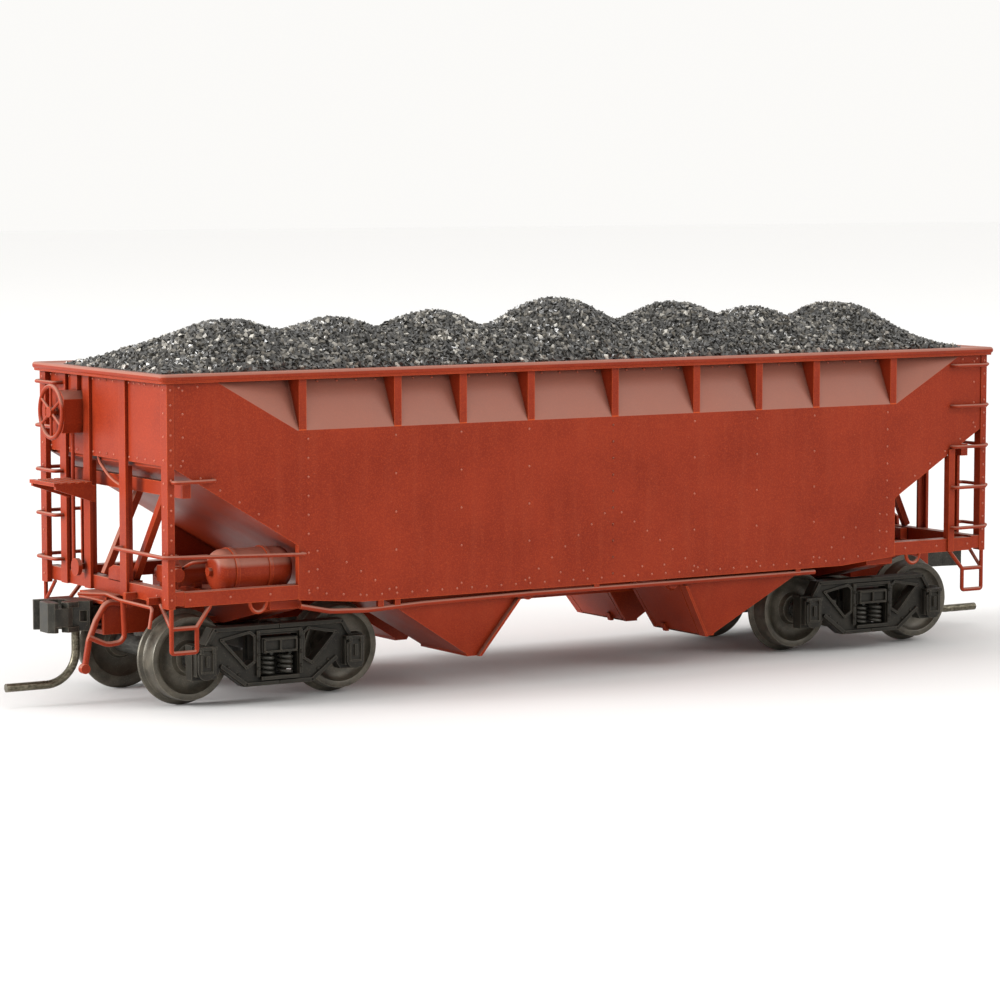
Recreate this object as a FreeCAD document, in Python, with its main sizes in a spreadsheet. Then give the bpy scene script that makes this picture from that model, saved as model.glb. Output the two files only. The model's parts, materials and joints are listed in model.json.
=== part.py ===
# Model hopper car, HO scale: an open top twin hopper with offset sides, on two four wheel trucks.
# +X runs towards the A end, the brake wheel is at the B end (-X), left is +Y, right is -Y, Z is up.
# The origin is at the middle of the car, at the level of the wheel flanges' lowest points.
import FreeCAD, Part
import math
import os
import re
import Sketcher
from FreeCAD import Placement, Rotation, Vector
from types import SimpleNamespace

doc = FreeCAD.newDocument("hopper_car")
sizes = doc.addObject("Spreadsheet::Sheet", "sizes")
places = doc.addObject("Spreadsheet::Sheet", "places")

# Driving sizes in millimetres, each set once.
driving = {
    # body shell
    "body_length": 115.5,       # over the corner posts
    "body_width": 32.3,         # over the side sheets
    "rim_top": 37.7,
    "rim_height": 1.0,
    "rim_lip": 0.35,            # height of the chord's lower band
    "rim_step": 0.25,           # the lower band stands in by this much
    "rim_overhang_end": 0.95,   # the chord beyond the corner posts
    "rim_overhang_side": 0.75,  # the chord beyond the side sheets
    "sheet": 0.7,               # thickness of the body's sheets
    "end_inset": 0.7,           # end sheet and end sill behind the corner posts' faces
    "end_depth": 8.75,          # end sheet's height at the corner posts
    "offset_rise": 5.7,         # height of the leaning part of the side
    "offset_depth": 2.6,        # how far it leans in
    "offset_reach": 0.2,        # its foot ends this much beyond the truck centre
    "side_shift": 0.95,         # the side's ribs, seams and notches sit this far towards the A end
    "facet_inset": 4.6,         # tips of the end facets from the end sheet
    "lip_gap": 9.925,           # the slopes' lips from the nearest wheels
    "mouth_step": 1.2,          # foot of each chute's mouth from its lip
    "chute_depth": 7.7,         # the chutes below the body
    "side_foot_rise": 0.7,      # side sheet's lower edge rises by this much towards the ends
    "foot_taper": 8.3,          # length of that rise
    "notch_offset": 0.15,       # side sheet's lower end beyond the truck centre
    "ridge_rise": 8.7,          # the cross ridge above the body's foot
    "door_top_reach": 22.0,     # distance between the tops of the two hoppers' doors
    # ribs
    "rib_web": 0.4,
    "rib_flange": 0.75,
    "rib_flange_wall": 0.35,
    "rib_pitch_inner": 11.75,
    "rib_pitch_second": 21.0,
    "rib_pitch_third": 29.7,
    # chutes and doors
    "chute_gap": 6.0,           # between the left and right chutes
    "chute_draw": 2.05,         # each chute's side draws in by this much down to the lip
    "chute_wall": 0.6,
    "chute_flange": 0.7,        # the angle along a chute's mouth stands out by this much
    "chute_lip": 0.45,          # the bar along the lip of its slope
    "door_wall": 0.6,
    "door_gap": 0.15,           # door to chute wall
    "hinge_radius": 0.55,
    "pin_radius": 0.25,
    "hinge_play": 0.05,
    # underframe
    "plate_gap": 0.05,          # centre plate above the truck bolster
    "plate_depth": 0.25,
    "plate_radius": 2.6,
    "sill_depth": 3.0,
    "sill_wall": 0.6,
    "side_sill_rise": 0.8,      # side sill above the body's foot
    "side_sill_height": 1.6,
    "sill_web": 0.9,
    "sill_lap": 5.5,            # side sill's length behind the side sheet
    "end_sill_depth": 1.4,
    "bolster_length": 4.0,
    "truck_inset": 15.55,       # truck centres from the corner posts
    # end posts
    "post_flange": 1.6,
    "post_inset": 0.3,          # the other posts' faces behind the corner posts'
    "corner_leg": 1.5,          # a corner post's width on the end
    "corner_side_leg": 0.9,     # and on the side
    "mid_post_spacing": 9.2,
    "ladder_post_place": 10.8,
    # trucks
    "wheel_base": 19.25,
    "tread_radius": 4.81,
    "flange_height": 0.64,
    "wheel_width": 2.79,
    "back_to_back": 14.5,
    "axle_radius": 1.1,
    "axle_journal": 0.9,
    "axle_cone": 1.6,           # length of each pointed end
    "cone_depth": 1.1,          # how far a pointed end reaches into its sideframe
    "frame_gap": 1.26,          # sideframe from the wheel's face
    "frame_wall": 1.5,
    "frame_drop": 3.25,         # sideframe's foot below the axles
    "frame_rise": 3.65,         # its top above them
    "box_drop": 2.1,            # a journal box below its axle
    "box_rise": 1.85,           # and above it
    "bearing_play": 0.15,       # along the axle, at each pointed end
    "swivel_play": 0.08,        # radial, round the truck screw
    "truck_bolster_rise": 2.55,
    "truck_bolster_depth": 2.1,
    "truck_bolster_width": 4.6,
    "screw_radius": 1.12,
    "screw_head_radius": 2.0,
    "spring_radius": 0.95,
    "spring_wire": 0.22,
    # couplers
    "coupler_rise": 1.7,        # coupler's centre line above the centre sill's foot
    "draft_box_width": 6.5,
    "draft_box_below": 2.1,
    "draft_box_above": 1.8,
    "draft_box_overhang": 1.55,  # beyond the corner posts
    "draft_box_gap": 4.3,       # its back from the truck centre
    "draft_wall": 0.5,
    "pivot_setback": 6.8,       # coupler's pivot behind the box's mouth
    "pivot_radius": 1.1,
    "pivot_play": 0.08,
    "shank_width": 2.0,
    "shank_depth": 1.9,
    "coupler_reach": 6.0,       # knuckle face beyond the box's mouth
    "head_half": 1.7,           # half the height of the coupler's head
    "knuckle_pin_radius": 0.35,
    "trip_wire": 0.48,
    "trip_foot": 2.3,
    "trip_bend": 4.5,
    "trip_reach": 4.5,          # its tip beyond the knuckle's face
    # brake gear
    "wheel_centre_side": 7.4,   # brake wheel's centre from the centre line
    "wheel_centre_drop": 4.3,   # and below the chord
    "brake_wheel_radius": 3.2,
    "brake_rim_radius": 0.24,
    "brake_shaft_radius": 0.35,
    "brake_stand_off": 3.0,      # brake wheel's middle from the posts' faces
    "brake_case_depth": 2.3,     # gear housing in front of the posts' faces
    "brake_case_half": 1.95,     # half its width, between the posts
    "rigging_stand_off": 0.85,
    "platform_drop": 12.4,      # platform below the chord
    "platform_side": 5.6,       # platform's middle from the centre line
    "platform_width": 6.6,
    "platform_depth": 5.1,
    # fittings
    "grab_radius": 0.22,
    "grab_stand_off": 0.8,
    "rung_pitch": 5.1,
    "rung_drop": 1.2,           # top rung below the chord
    "ladder_width": 4.6,
    "step_depth": 5.0,          # sill steps' lower treads below the side sills
    "tank_radius": 2.45,
    "tank_gap": 1.4,            # tank to the side sheet
    "cylinder_radius": 1.7,
    "cylinder_spacing": 7.0,    # brake cylinder's centre from the tank's
    "valve_spacing": 4.0,       # control valve's centre from the tank's
    "pipe_radius": 0.3,
    "line_drop": 0.55,          # train line's centre below the side sheet
    # coal load
    "coal_drop": 3.7,           # the load's foot below the chord's top
    "coal_gap": 0.15,
    "coal_tuck": 0.2,           # its shoulder below the chord's top
    "coal_rise": 6.5,           # its crest above the chord's top
}

# Places that follow from the driving sizes.
derived = {
    "rim_foot": "rim_top - rim_height",
    "post_end": "body_length / 2",
    "side_outer": "body_width / 2",
    "rim_end": "post_end + rim_overhang_end",
    "rim_side": "side_outer + rim_overhang_side",
    "end_outer": "post_end - end_inset",
    "end_inner": "end_outer - sheet",
    "side_inner": "side_outer - sheet",
    "lean_outer": "side_outer - offset_depth",
    "lean_inner": "lean_outer - sheet",
    "lean_foot": "rim_foot - offset_rise",
    "truck_place": "post_end - truck_inset",
    "lean_half": "truck_place + offset_reach",
    "lean_tip": "end_outer - facet_inset",
    "flange_radius": "tread_radius + flange_height",
    "axle_height": "flange_radius",
    "truck_bolster_top": "axle_height + truck_bolster_rise",
    "truck_bolster_foot": "truck_bolster_top - truck_bolster_depth",
    "plate_foot": "truck_bolster_top + plate_gap",
    "sill_foot": "plate_foot + plate_depth",
    "hopper_top": "sill_foot + sill_depth",
    "side_foot": "hopper_top",
    "side_sill_foot": "hopper_top + side_sill_rise",
    "side_sill_top": "side_sill_foot + side_sill_height",
    "bolster_top": "side_sill_foot",
    "slope_top": "rim_foot - end_depth",
    "slope_foot": "hopper_top - chute_depth",
    "axle_place": "wheel_base / 2",
    "lip": "truck_place - axle_place - flange_radius - lip_gap",
    "slope_rate": "(slope_top - slope_foot) / (post_end - lip)",
    "slope_rise": "sheet * sqrt(1 + slope_rate * slope_rate)",
    "notch": "truck_place + notch_offset",
    "notch_a": "notch + side_shift",
    "notch_b": "notch - side_shift",
    "notch_height_a": "slope_top - slope_rate * (post_end - notch_a)",
    "notch_height_b": "slope_top - slope_rate * (post_end - notch_b)",
    "level_foot": "notch - foot_taper",
    "end_sheet_foot": "slope_top - slope_rate * (post_end - end_outer)",
    "slope_inner_height": "slope_top - slope_rate * (post_end - end_inner)",
    "chute_back": "lip + (hopper_top - slope_foot) / slope_rate",
    "chute_foot_side": "side_inner - chute_draw",
    "ridge_top": "hopper_top + ridge_rise",
    "door_top": "door_top_reach / 2",
    "door_foot": "lip - mouth_step",
    "sill_half": "chute_gap / 2",
    "wheel_inner": "back_to_back / 2",
    "wheel_outer": "wheel_inner + wheel_width",
    "frame_inner": "wheel_outer + frame_gap",
    "frame_foot": "axle_height - frame_drop",
    "frame_top": "axle_height + frame_rise",
    "box_foot": "axle_height - box_drop",
    "box_top": "axle_height + box_rise",
    "axle_half": "frame_inner + cone_depth",
    "bearing_mouth": "0.1 + (axle_journal - 0.1) / axle_cone * (cone_depth + bearing_play)",
    "post_face": "post_end - post_inset",
    "coupler_height": "sill_foot + coupler_rise",
    "draft_box_foot": "coupler_height - draft_box_below",
    "draft_box_top": "coupler_height + draft_box_above",
    "box_half": "draft_box_width / 2",
    "box_end": "post_end + draft_box_overhang",
    "box_back": "truck_place + draft_box_gap",
    "coupler_pivot": "box_end - pivot_setback",
    "knuckle_face": "box_end + coupler_reach",
    "wheel_centre_height": "rim_foot - wheel_centre_drop",
    "platform_height": "rim_foot - platform_drop",
    "step_tread": "side_sill_foot - step_depth",
    "coal_foot": "rim_top - coal_drop",
    "coal_shoulder": "rim_top - coal_tuck",
    "coal_crest": "rim_top + coal_rise",
}

for row, (name, value) in enumerate(driving.items(), start=1):
    sizes.set(f"A{row}", name)
    sizes.set(f"B{row}", str(value))
    sizes.setAlias(f"B{row}", name)


def known(text):
    """An expression, with its sheet's name put before each size that it uses."""
    def owner(match):
        word = match.group(0)
        if word in driving:
            return "sizes." + word
        return "places." + word if word in derived else word
    return re.sub(r"[a-z][a-z_]*", owner, str(text))


for row, (name, text) in enumerate(derived.items(), start=1):
    places.set(f"A{row}", name)
    places.set(f"B{row}", "=" + known(text).replace("places.", ""))
    places.setAlias(f"B{row}", name)
    doc.recompute()

at = SimpleNamespace(**{name: float(getattr(sizes, name)) for name in driving},
                     **{name: float(getattr(places, name)) for name in derived})


# ---------------------------------------------------------------- building functions
turns = {"x": Rotation(Vector(0, 1, 0), 90), "y": Rotation(Vector(1, 0, 0), -90), "z": Rotation()}
planes = {"x": "YZ_Plane", "y": "XZ_Plane", "z": "XY_Plane"}
normals = {"x": Vector(1, 0, 0), "y": Vector(0, 1, 0), "z": Vector(0, 0, 1)}


def place(piece, x, y, z):
    for axis, text in zip("xyz", (x, y, z)):
        piece.setExpression("Placement.Base." + axis, known(text))
    return piece


def box(x, y, z):
    """A block between two places along each axis."""
    piece = doc.addObject("Part::Box", "block")
    for prop, (low, high) in zip(("Length", "Width", "Height"), (x, y, z)):
        piece.setExpression(prop, known(f"({high}) - ({low})"))
    return place(piece, x[0], y[0], z[0])


def rod(axis, radius, span, centre):
    """A round bar along an axis; centre gives its two other coordinates in order."""
    piece = doc.addObject("Part::Cylinder", "rod")
    piece.setExpression("Radius", known(radius))
    piece.setExpression("Height", known(f"({span[1]}) - ({span[0]})"))
    piece.Placement = Placement(Vector(), turns[axis])
    spot = list(centre)
    spot.insert("xyz".index(axis), span[0])
    return place(piece, *spot)


def outline_sketch(body, axis, outline):
    """A closed outline of straight sides on the plane across an axis, each corner bound to its place."""
    sketch = body.newObject("Sketcher::SketchObject", "outline")
    plane = [feature for feature in body.Origin.OriginFeatures if feature.Role == planes[axis]][0]
    sketch.AttachmentSupport = [(plane, "")]
    sketch.MapMode = "FlatFace"
    count = len(outline)
    for index in range(count):
        start = Vector(math.cos(index * 6.28 / count), math.sin(index * 6.28 / count), 0)
        end = Vector(math.cos((index + 1) * 6.28 / count), math.sin((index + 1) * 6.28 / count), 0)
        sketch.addGeometry(Part.LineSegment(start, end), False)
    for index in range(count):
        sketch.addConstraint(Sketcher.Constraint("Coincident", index, 2, (index + 1) % count, 1))
    for index, corner in enumerate(outline):
        for kind, text in zip(("DistanceX", "DistanceY"), corner):
            number = sketch.addConstraint(Sketcher.Constraint(kind, -1, 1, index, 1, 1.0))
            sketch.setExpression(f"Constraints[{number}]", known(text))
    return sketch


def prism(axis, outline, span):
    """A padded outline, reaching between two places along the axis."""
    body = doc.addObject("PartDesign::Body", "padded")
    sketch = outline_sketch(body, axis, outline)
    low, high = span
    offset = f"-({high})" if axis == "y" else low
    sketch.setExpression("AttachmentOffset.Base.z", known(offset))
    pad = body.newObject("PartDesign::Pad", "pad")
    pad.Profile = sketch
    pad.setExpression("Length", known(f"({high}) - ({low})"))
    return body


def turned(axis, outline):
    """A solid turned round an axis, from corners given as (place along the axis, radius)."""
    body = doc.addObject("PartDesign::Body", "turned")
    if axis == "z":
        sketch = outline_sketch(body, "y", [(radius, along) for along, radius in outline])
    else:
        sketch = outline_sketch(body, "y" if axis == "x" else "x", outline)
    turn = body.newObject("PartDesign::Revolution", "turn")
    turn.Profile = sketch
    turn.ReferenceAxis = (sketch, ["V_Axis" if axis == "z" else "H_Axis"])
    turn.Angle = 360
    return body


def group(*pieces):
    piece = doc.addObject("Part::Compound", "group")
    piece.Links = list(pieces)
    return piece


def moved(piece, x="0", y="0", z="0", half_turn=False):
    """A copy of a piece at another place, or turned end for end."""
    copy = group(piece)
    if half_turn:
        copy.Placement = Placement(Vector(), Rotation(Vector(0, 0, 1), 180))
    return place(copy, x, y, z)


def mirror(piece, axis):
    other = doc.addObject("Part::Mirroring", "mirrored")
    other.Source = piece
    other.Normal = normals[axis]
    return other


def both(piece, axis):
    """A piece and its mirror image."""
    return group(piece, mirror(piece, axis))


def four(piece):
    """A piece at one corner, and its images at the other three."""
    return both(both(piece, "x"), "y")


def fuse(*pieces):
    piece = doc.addObject("Part::MultiFuse", "joined")
    piece.Shapes = list(pieces)
    piece.Refine = True
    return piece


def cut(base, *tools):
    piece = doc.addObject("Part::Cut", "cut")
    piece.Base = base
    piece.Tool = tools[0] if len(tools) == 1 else group(*tools)
    return piece


def shaped(shape):
    """A piece whose shape is worked out from the sheets with Part's own functions."""
    piece = doc.addObject("Part::Feature", "shaped")
    piece.Shape = shape
    return piece


def ruled(front, back):
    """A flat-sided solid between two outlines with as many corners."""
    count = len(front)
    loops = [list(front), list(back)]
    for index in range(count):
        after = (index + 1) % count
        loops.append([front[index], front[after], back[after], back[index]])
    faces = []
    for loop in loops:
        corners = [Vector(*corner) for corner in loop]
        faces.append(Part.Face(Part.makePolygon(corners + corners[:1])))
    solid = Part.makeSolid(Part.makeShell(faces))
    if solid.Volume < 0:
        solid.reverse()
    return solid


def wire_path(points, bend):
    """Straight runs joined by arcs of the bend radius, or as large as the runs allow."""
    corners = [Vector(*point) for point in points]
    edges = []
    start = corners[0]
    for before, corner, after in zip(corners, corners[1:], corners[2:]):
        inward = (before - corner).normalize()
        outward = (after - corner).normalize()
        half = inward.getAngle(outward) / 2
        reach = bend / math.tan(half)
        reach = min(reach, 0.45 * (corner - before).Length, 0.45 * (after - corner).Length)
        first = corner + inward * reach
        last = corner + outward * reach
        middle = (inward + outward).normalize()
        radius = reach * math.tan(half)
        centre = corner + middle * (radius / math.sin(half))
        edges.append(Part.makeLine(start, first))
        edges.append(Part.Arc(first, centre - middle * radius, last).toShape())
        start = last
    edges.append(Part.makeLine(start, corners[-1]))
    return Part.Wire(edges)


def bent_wire(points, radius, bend):
    """A round wire or pipe that follows a list of places with rounded bends."""
    path = wire_path(points, bend)
    start = Vector(*points[0])
    section = Part.Wire([Part.makeCircle(radius, start, Vector(*points[1]) - start)])
    return path.makePipeShell([section], True, False)


def coil(radius, wire, height, turn_count, centre):
    """A closed-ended coil spring standing on centre."""
    rise = height - 2 * wire
    helix = Part.makeHelix(rise / turn_count, rise, radius - wire)
    section = Part.Wire([Part.makeCircle(wire, Vector(radius - wire, 0, 0), Vector(0, 1, 0))])
    solid = Part.Wire(helix.Edges).makePipeShell([section], True, True)
    solid.translate(Vector(centre[0], centre[1], centre[2] + wire))
    return solid


nodes = []


def node(label, piece):
    piece.Label = label
    nodes.append(piece)
    return piece


# ---------------------------------------------------------------- body shell
def side_panel():
    """The left side: a flat sheet, the leaning part over it and the facets that close its ends."""
    foot = "side_foot + side_foot_rise"
    flat = prism("y", [
        ("-notch_b", foot), ("side_shift - level_foot", "side_foot"), ("side_shift + level_foot", "side_foot"),
        ("notch_a", foot), ("notch_a", "notch_height_a"), ("end_outer", "end_sheet_foot"),
        ("end_outer", "rim_foot"), ("side_shift + lean_tip", "rim_foot"),
        ("side_shift + lean_half", "lean_foot"), ("side_shift - lean_half", "lean_foot"),
        ("side_shift - lean_tip", "rim_foot"), ("-end_outer", "rim_foot"), ("-end_outer", "end_sheet_foot"),
        ("-notch_b", "notch_height_b")], ("side_inner", "side_outer"))
    leaning = prism("x", [
        ("side_outer", "lean_foot"), ("lean_outer", "rim_foot"), ("lean_inner", "rim_foot"),
        ("side_inner", "lean_foot")], ("side_shift - lean_half", "side_shift + lean_half"))
    facet_front = [(at.lean_half, at.side_outer, at.lean_foot), (at.lean_tip, at.side_outer, at.rim_foot),
                   (at.lean_half, at.lean_outer, at.rim_foot)]
    facet_back = [(x, y - at.sheet, z) for x, y, z in facet_front]
    facet = shaped(ruled(facet_front, facet_back))
    facets = [moved(facet, x="side_shift"), moved(mirror(facet, "x"), x="side_shift")]
    return fuse(flat, leaning, *facets)


def gusset():
    """One rib over the leaning part: a triangular web and the flange on its outer edge."""
    web = prism("x", [("lean_outer", "rim_foot"), ("side_outer", "rim_foot"), ("side_outer", "lean_foot")],
                ("-rib_web / 2", "rib_web / 2"))
    flange_inner = "side_outer - rib_flange_wall"
    flange = prism("x", [
        ("side_outer", "rim_foot"), (flange_inner, "rim_foot"),
        (flange_inner, "lean_foot + offset_rise * rib_flange_wall / offset_depth"),
        ("side_outer", "lean_foot")], ("rib_web / 2", "rib_flange"))
    return fuse(web, flange)


def side_gussets():
    rib = gusset()
    stations = ["0", "-(lean_half - rib_web)", "lean_half - rib_flange"]
    for pitch in ("rib_pitch_inner", "rib_pitch_second", "rib_pitch_third"):
        stations += [pitch, f"-{pitch}"]
    return group(*[moved(rib, x=f"side_shift + {station}") for station in stations])


def top_chord():
    """The bulb angle round the top edge: an upper bead and a lower band that stands in from it."""
    inner = box(("-end_inner", "end_inner"), ("-lean_inner", "lean_inner"), ("rim_foot - 1", "rim_top + 1"))
    bead = box(("-rim_end", "rim_end"), ("-rim_side", "rim_side"), ("rim_foot + rim_lip", "rim_top"))
    band = box(("-rim_end + rim_step", "rim_end - rim_step"), ("-rim_side + rim_step", "rim_side - rim_step"),
               ("rim_foot", "rim_foot + rim_lip"))
    return cut(fuse(bead, band), inner)


def end_panel():
    """The end sheet, with the ledge inside it that the coal load rests on."""
    sheet = box(("end_inner", "end_outer"), ("-side_inner", "side_inner"), ("end_sheet_foot", "rim_foot"))
    ledge = box(("end_inner - 1.3", "end_inner"), ("-lean_inner + 1", "lean_inner - 1"),
                ("coal_foot - 0.8", "coal_foot"))
    return fuse(sheet, ledge)


def slope_sheet():
    """The floor from the end sheet down to the chutes."""
    return prism("y", [
        ("chute_back", "hopper_top"), ("end_inner", "slope_inner_height"),
        ("end_inner", "slope_inner_height + slope_rise"), ("chute_back", "hopper_top + slope_rise")],
        ("-side_inner", "side_inner"))


def cross_ridge():
    """The inverted vee between the two hoppers."""
    rise = "sheet * 1.3"
    return prism("y", [
        ("-door_top", "hopper_top"), ("0", f"ridge_top - {rise}"), ("door_top", "hopper_top"),
        (f"door_top + {rise}", "hopper_top"), ("0", "ridge_top"), (f"-door_top - {rise}", "hopper_top")],
        ("-side_inner", "side_inner"))


node("side_panel_left", side_panel())
node("side_panel_right", mirror(nodes[0], "y"))
node("side_gussets", both(side_gussets(), "y"))
node("top_chord", top_chord())
node("end_panels", both(end_panel(), "x"))
node("slope_sheets", both(slope_sheet(), "x"))
node("cross_ridge", cross_ridge())


# ---------------------------------------------------------------- chutes and doors
def slope_under(x):
    """Height of the slope sheet's underside at a place along the A end."""
    return at.slope_top - at.slope_rate * (at.post_end - x)


def chute_width(height, wall=0.0):
    """Outer face of a chute's outer wall at a height: it draws in towards the lip."""
    share = (height - at.slope_foot) / (at.hopper_top - at.slope_foot)
    return at.chute_foot_side + share * at.chute_draw - wall


def chute_block(profile, inner, wall):
    """A block with the chute's leaning outer side, from corners given as (x, z)."""
    front = [(x, inner, z) for x, z in profile]
    back = [(x, chute_width(z, wall), z) for x, z in profile]
    return ruled(front, back)


def door_slant(step):
    """A step along the door's face, from its hinge end down."""
    run = at.door_foot - at.door_top
    drop = at.hopper_top - at.slope_foot
    length = math.hypot(run, drop)
    return step * run / length, -step * drop / length


hinge_place = SimpleNamespace(x=at.door_top - at.hinge_radius - 0.1, z=at.hopper_top - at.hinge_radius - 0.1)


def chute():
    """The left chute of the A end hopper, open above and towards the middle, where its door hangs."""
    outer = [(at.door_top, at.hopper_top), (at.chute_back, at.hopper_top), (at.lip, at.slope_foot),
             (at.door_foot, at.slope_foot)]
    back_step = at.chute_wall * math.hypot(1, at.slope_rate) / at.slope_rate
    drop = at.hopper_top - at.slope_foot
    run = at.door_foot - at.door_top
    over = 2.0
    inner = [(at.door_top - over * run / drop - 1, at.hopper_top + over),
             (at.chute_back - back_step + over / at.slope_rate, at.hopper_top + over),
             (at.lip - back_step - over / at.slope_rate, at.slope_foot - over),
             (at.door_foot - 3.5, at.slope_foot - over)]
    body = chute_block(outer, at.sill_half, 0.0)
    hollow = chute_block(inner, at.sill_half + at.chute_wall, at.chute_wall)
    lugs = []
    for low in (at.sill_half, chute_width(hinge_place.z) - at.chute_wall):
        lug = Part.makeCylinder(at.hinge_radius + 0.15, at.chute_wall, Vector(hinge_place.x, low, hinge_place.z),
                                Vector(0, 1, 0))
        tie = Part.makeBox(1.6, at.chute_wall, 0.7, Vector(hinge_place.x, low, hinge_place.z - 0.05))
        bore = Part.makeCylinder(at.pin_radius, at.chute_wall, Vector(hinge_place.x, low, hinge_place.z),
                                 Vector(0, 1, 0))
        lugs.append(lug.fuse(tie).cut(bore))
    return body.cut(hollow).fuse(lugs + [mouth_angle(), lip_bar()]).removeSplitter()


def mouth_angle():
    """The angle that stands out along the chute's mouth, from under the train line down to the lip."""
    high = at.side_foot - at.line_drop - at.pipe_radius - 0.25
    lean = (at.door_foot - at.door_top) / (at.hopper_top - at.slope_foot)
    wall = at.rib_flange_wall
    top = at.door_top + (at.hopper_top - high) * lean
    profile = [(top, high), (top + wall, high), (at.door_foot + wall, at.slope_foot), (at.door_foot, at.slope_foot)]
    front = [(x, chute_width(z), z) for x, z in profile]
    back = [(x, chute_width(z) + at.chute_flange, z) for x, z in profile]
    return ruled(front, back)


def lip_bar():
    """The bar along the foot of the chute's slope."""
    return Part.makeBox(at.chute_lip + 0.5, at.chute_foot_side - at.sill_half, at.chute_lip,
                        Vector(at.lip - 0.5, at.sill_half, at.slope_foot))


def door():
    """The left door of the A end hopper, hanging from its hinge barrel inside the chute's mouth."""
    near = at.sill_half + at.chute_wall + at.door_gap
    inset = at.chute_wall + at.door_gap
    thick = at.door_wall
    run_x, run_z = door_slant(1.0)
    across = (-run_z, run_x)
    top = door_slant(1.1)
    top = (at.door_top + top[0], at.hopper_top + top[1])
    length = math.hypot(at.door_foot - top[0], top[1] - at.slope_foot) - 0.25
    foot = (top[0] + run_x * length, top[1] + run_z * length)
    profile = [top, (top[0] + across[0] * thick, top[1] + across[1] * thick),
               (foot[0] + across[0] * thick, foot[1] + across[1] * thick), foot]
    plate = chute_block(profile, near, inset)
    # the latch lug hangs from the foot, nearer the centre sill
    low = near + 0.22 * (chute_width(foot[1], inset) - near)
    lug = [(foot[0] - 0.7, low, foot[1] + 0.6), (foot[0] + 0.05, low, foot[1] + 0.6),
           (foot[0] + 0.05, low, foot[1] - 0.35), (foot[0] - 0.35, low, foot[1] - 0.35)]
    latch = ruled(lug, [(x, y + 0.7, z) for x, y, z in lug])
    far = chute_width(hinge_place.z - 1.0, inset)
    barrel = Part.makeCylinder(at.hinge_radius, far - near, Vector(hinge_place.x, near, hinge_place.z),
                               Vector(0, 1, 0))
    bore = Part.makeCylinder(at.pin_radius + at.hinge_play, far - near,
                             Vector(hinge_place.x, near, hinge_place.z), Vector(0, 1, 0))
    straps = []
    for share in (0.2, 0.8):
        low = near + (far - near) * share - 0.5
        strap = [(hinge_place.x + 0.1, low, hinge_place.z - 0.45), (hinge_place.x + 0.45, low, hinge_place.z + 0.1),
                 (top[0] + 0.5, low, top[1] + 0.05), (top[0] + 0.9, low, top[1] - 1.0),
                 (top[0] + 0.1, low, top[1] - 1.0)]
        straps.append(ruled(strap, [(x, y + 1.0, z) for x, y, z in strap]))
    return plate.fuse([latch, barrel] + straps).cut(bore).removeSplitter()


def hinge_pin():
    inner = at.sill_half
    return Part.makeCylinder(at.pin_radius, chute_width(hinge_place.z) - inner,
                             Vector(hinge_place.x, inner, hinge_place.z), Vector(0, 1, 0))


node("hopper_chutes", four(shaped(chute())))
node("door_hinge_pins", four(shaped(hinge_pin())))
door_a_left = node("door_a_left", shaped(door()))
node("door_a_right", mirror(door_a_left, "y"))
door_b_left = node("door_b_left", mirror(door_a_left, "x"))
node("door_b_right", mirror(door_b_left, "y"))


# ---------------------------------------------------------------- underframe
def centre_sill():
    """The channel between the two body bolsters, open below."""
    end = "truck_place - bolster_length / 2"
    channel = box((f"-({end})", end), ("-sill_half", "sill_half"), ("sill_foot", "hopper_top"))
    hollow = box((f"-({end}) - 1", f"{end} + 1"), ("-sill_half + sill_wall", "sill_half - sill_wall"),
                 ("sill_foot - 1", "hopper_top - sill_wall"))
    return cut(channel, hollow)


def draft_sill():
    """The plate over the draft box, out to the striker at the end sill."""
    return box(("truck_place + bolster_length / 2", "box_end - 0.3"), ("-box_half - 0.2", "box_half + 0.2"),
               ("draft_box_top", "side_sill_foot + 0.2"))


def side_sill(notch):
    """A left side sill towards +X: flush with the posts, and lapped behind the side sheet from its notch."""
    lap = f"{notch} - sill_lap"
    end = "end_outer - end_sill_depth"
    back = "side_inner - sill_web"
    return prism("z", [(lap, back), (end, back), (end, "side_outer"), (notch, "side_outer"),
                       (notch, "side_inner"), (lap, "side_inner")], ("side_sill_foot", "side_sill_top"))


def body_bolster():
    """The cross member over a truck, deeper in the middle, with its centre plate and screw hole."""
    low_x = "truck_place - bolster_length / 2"
    high_x = "truck_place + bolster_length / 2"
    tip = "side_inner - sill_web"
    beam = prism("x", [
        (f"-({tip})", "bolster_top - 1.2"), ("-sill_half - 0.4", "sill_foot"), ("sill_half + 0.4", "sill_foot"),
        (tip, "bolster_top - 1.2"), (tip, "bolster_top"), (f"-({tip})", "bolster_top")], (low_x, high_x))
    plate = rod("z", "plate_radius", ("plate_foot", "sill_foot + 0.5"), ("truck_place", "0"))
    hole = rod("z", "screw_radius", ("plate_foot - 1", "bolster_top - 0.6"), ("truck_place", "0"))
    return cut(fuse(beam, plate), hole)


def end_post(side):
    """A T section post on the end, out to just behind the corner posts' faces."""
    centre = str(side)
    half = "post_flange / 2"
    face = box(("end_outer", "post_face"), (f"{centre} - {half}", f"{centre} + {half}"),
               ("side_sill_foot + 0.2", "rim_foot"))
    web = box(("end_outer - 0.8", "end_outer"), (f"{centre} - 0.2", f"{centre} + 0.2"),
              ("side_sill_top + 0.2", "end_sheet_foot - 0.6"))
    return fuse(face, web)


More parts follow.
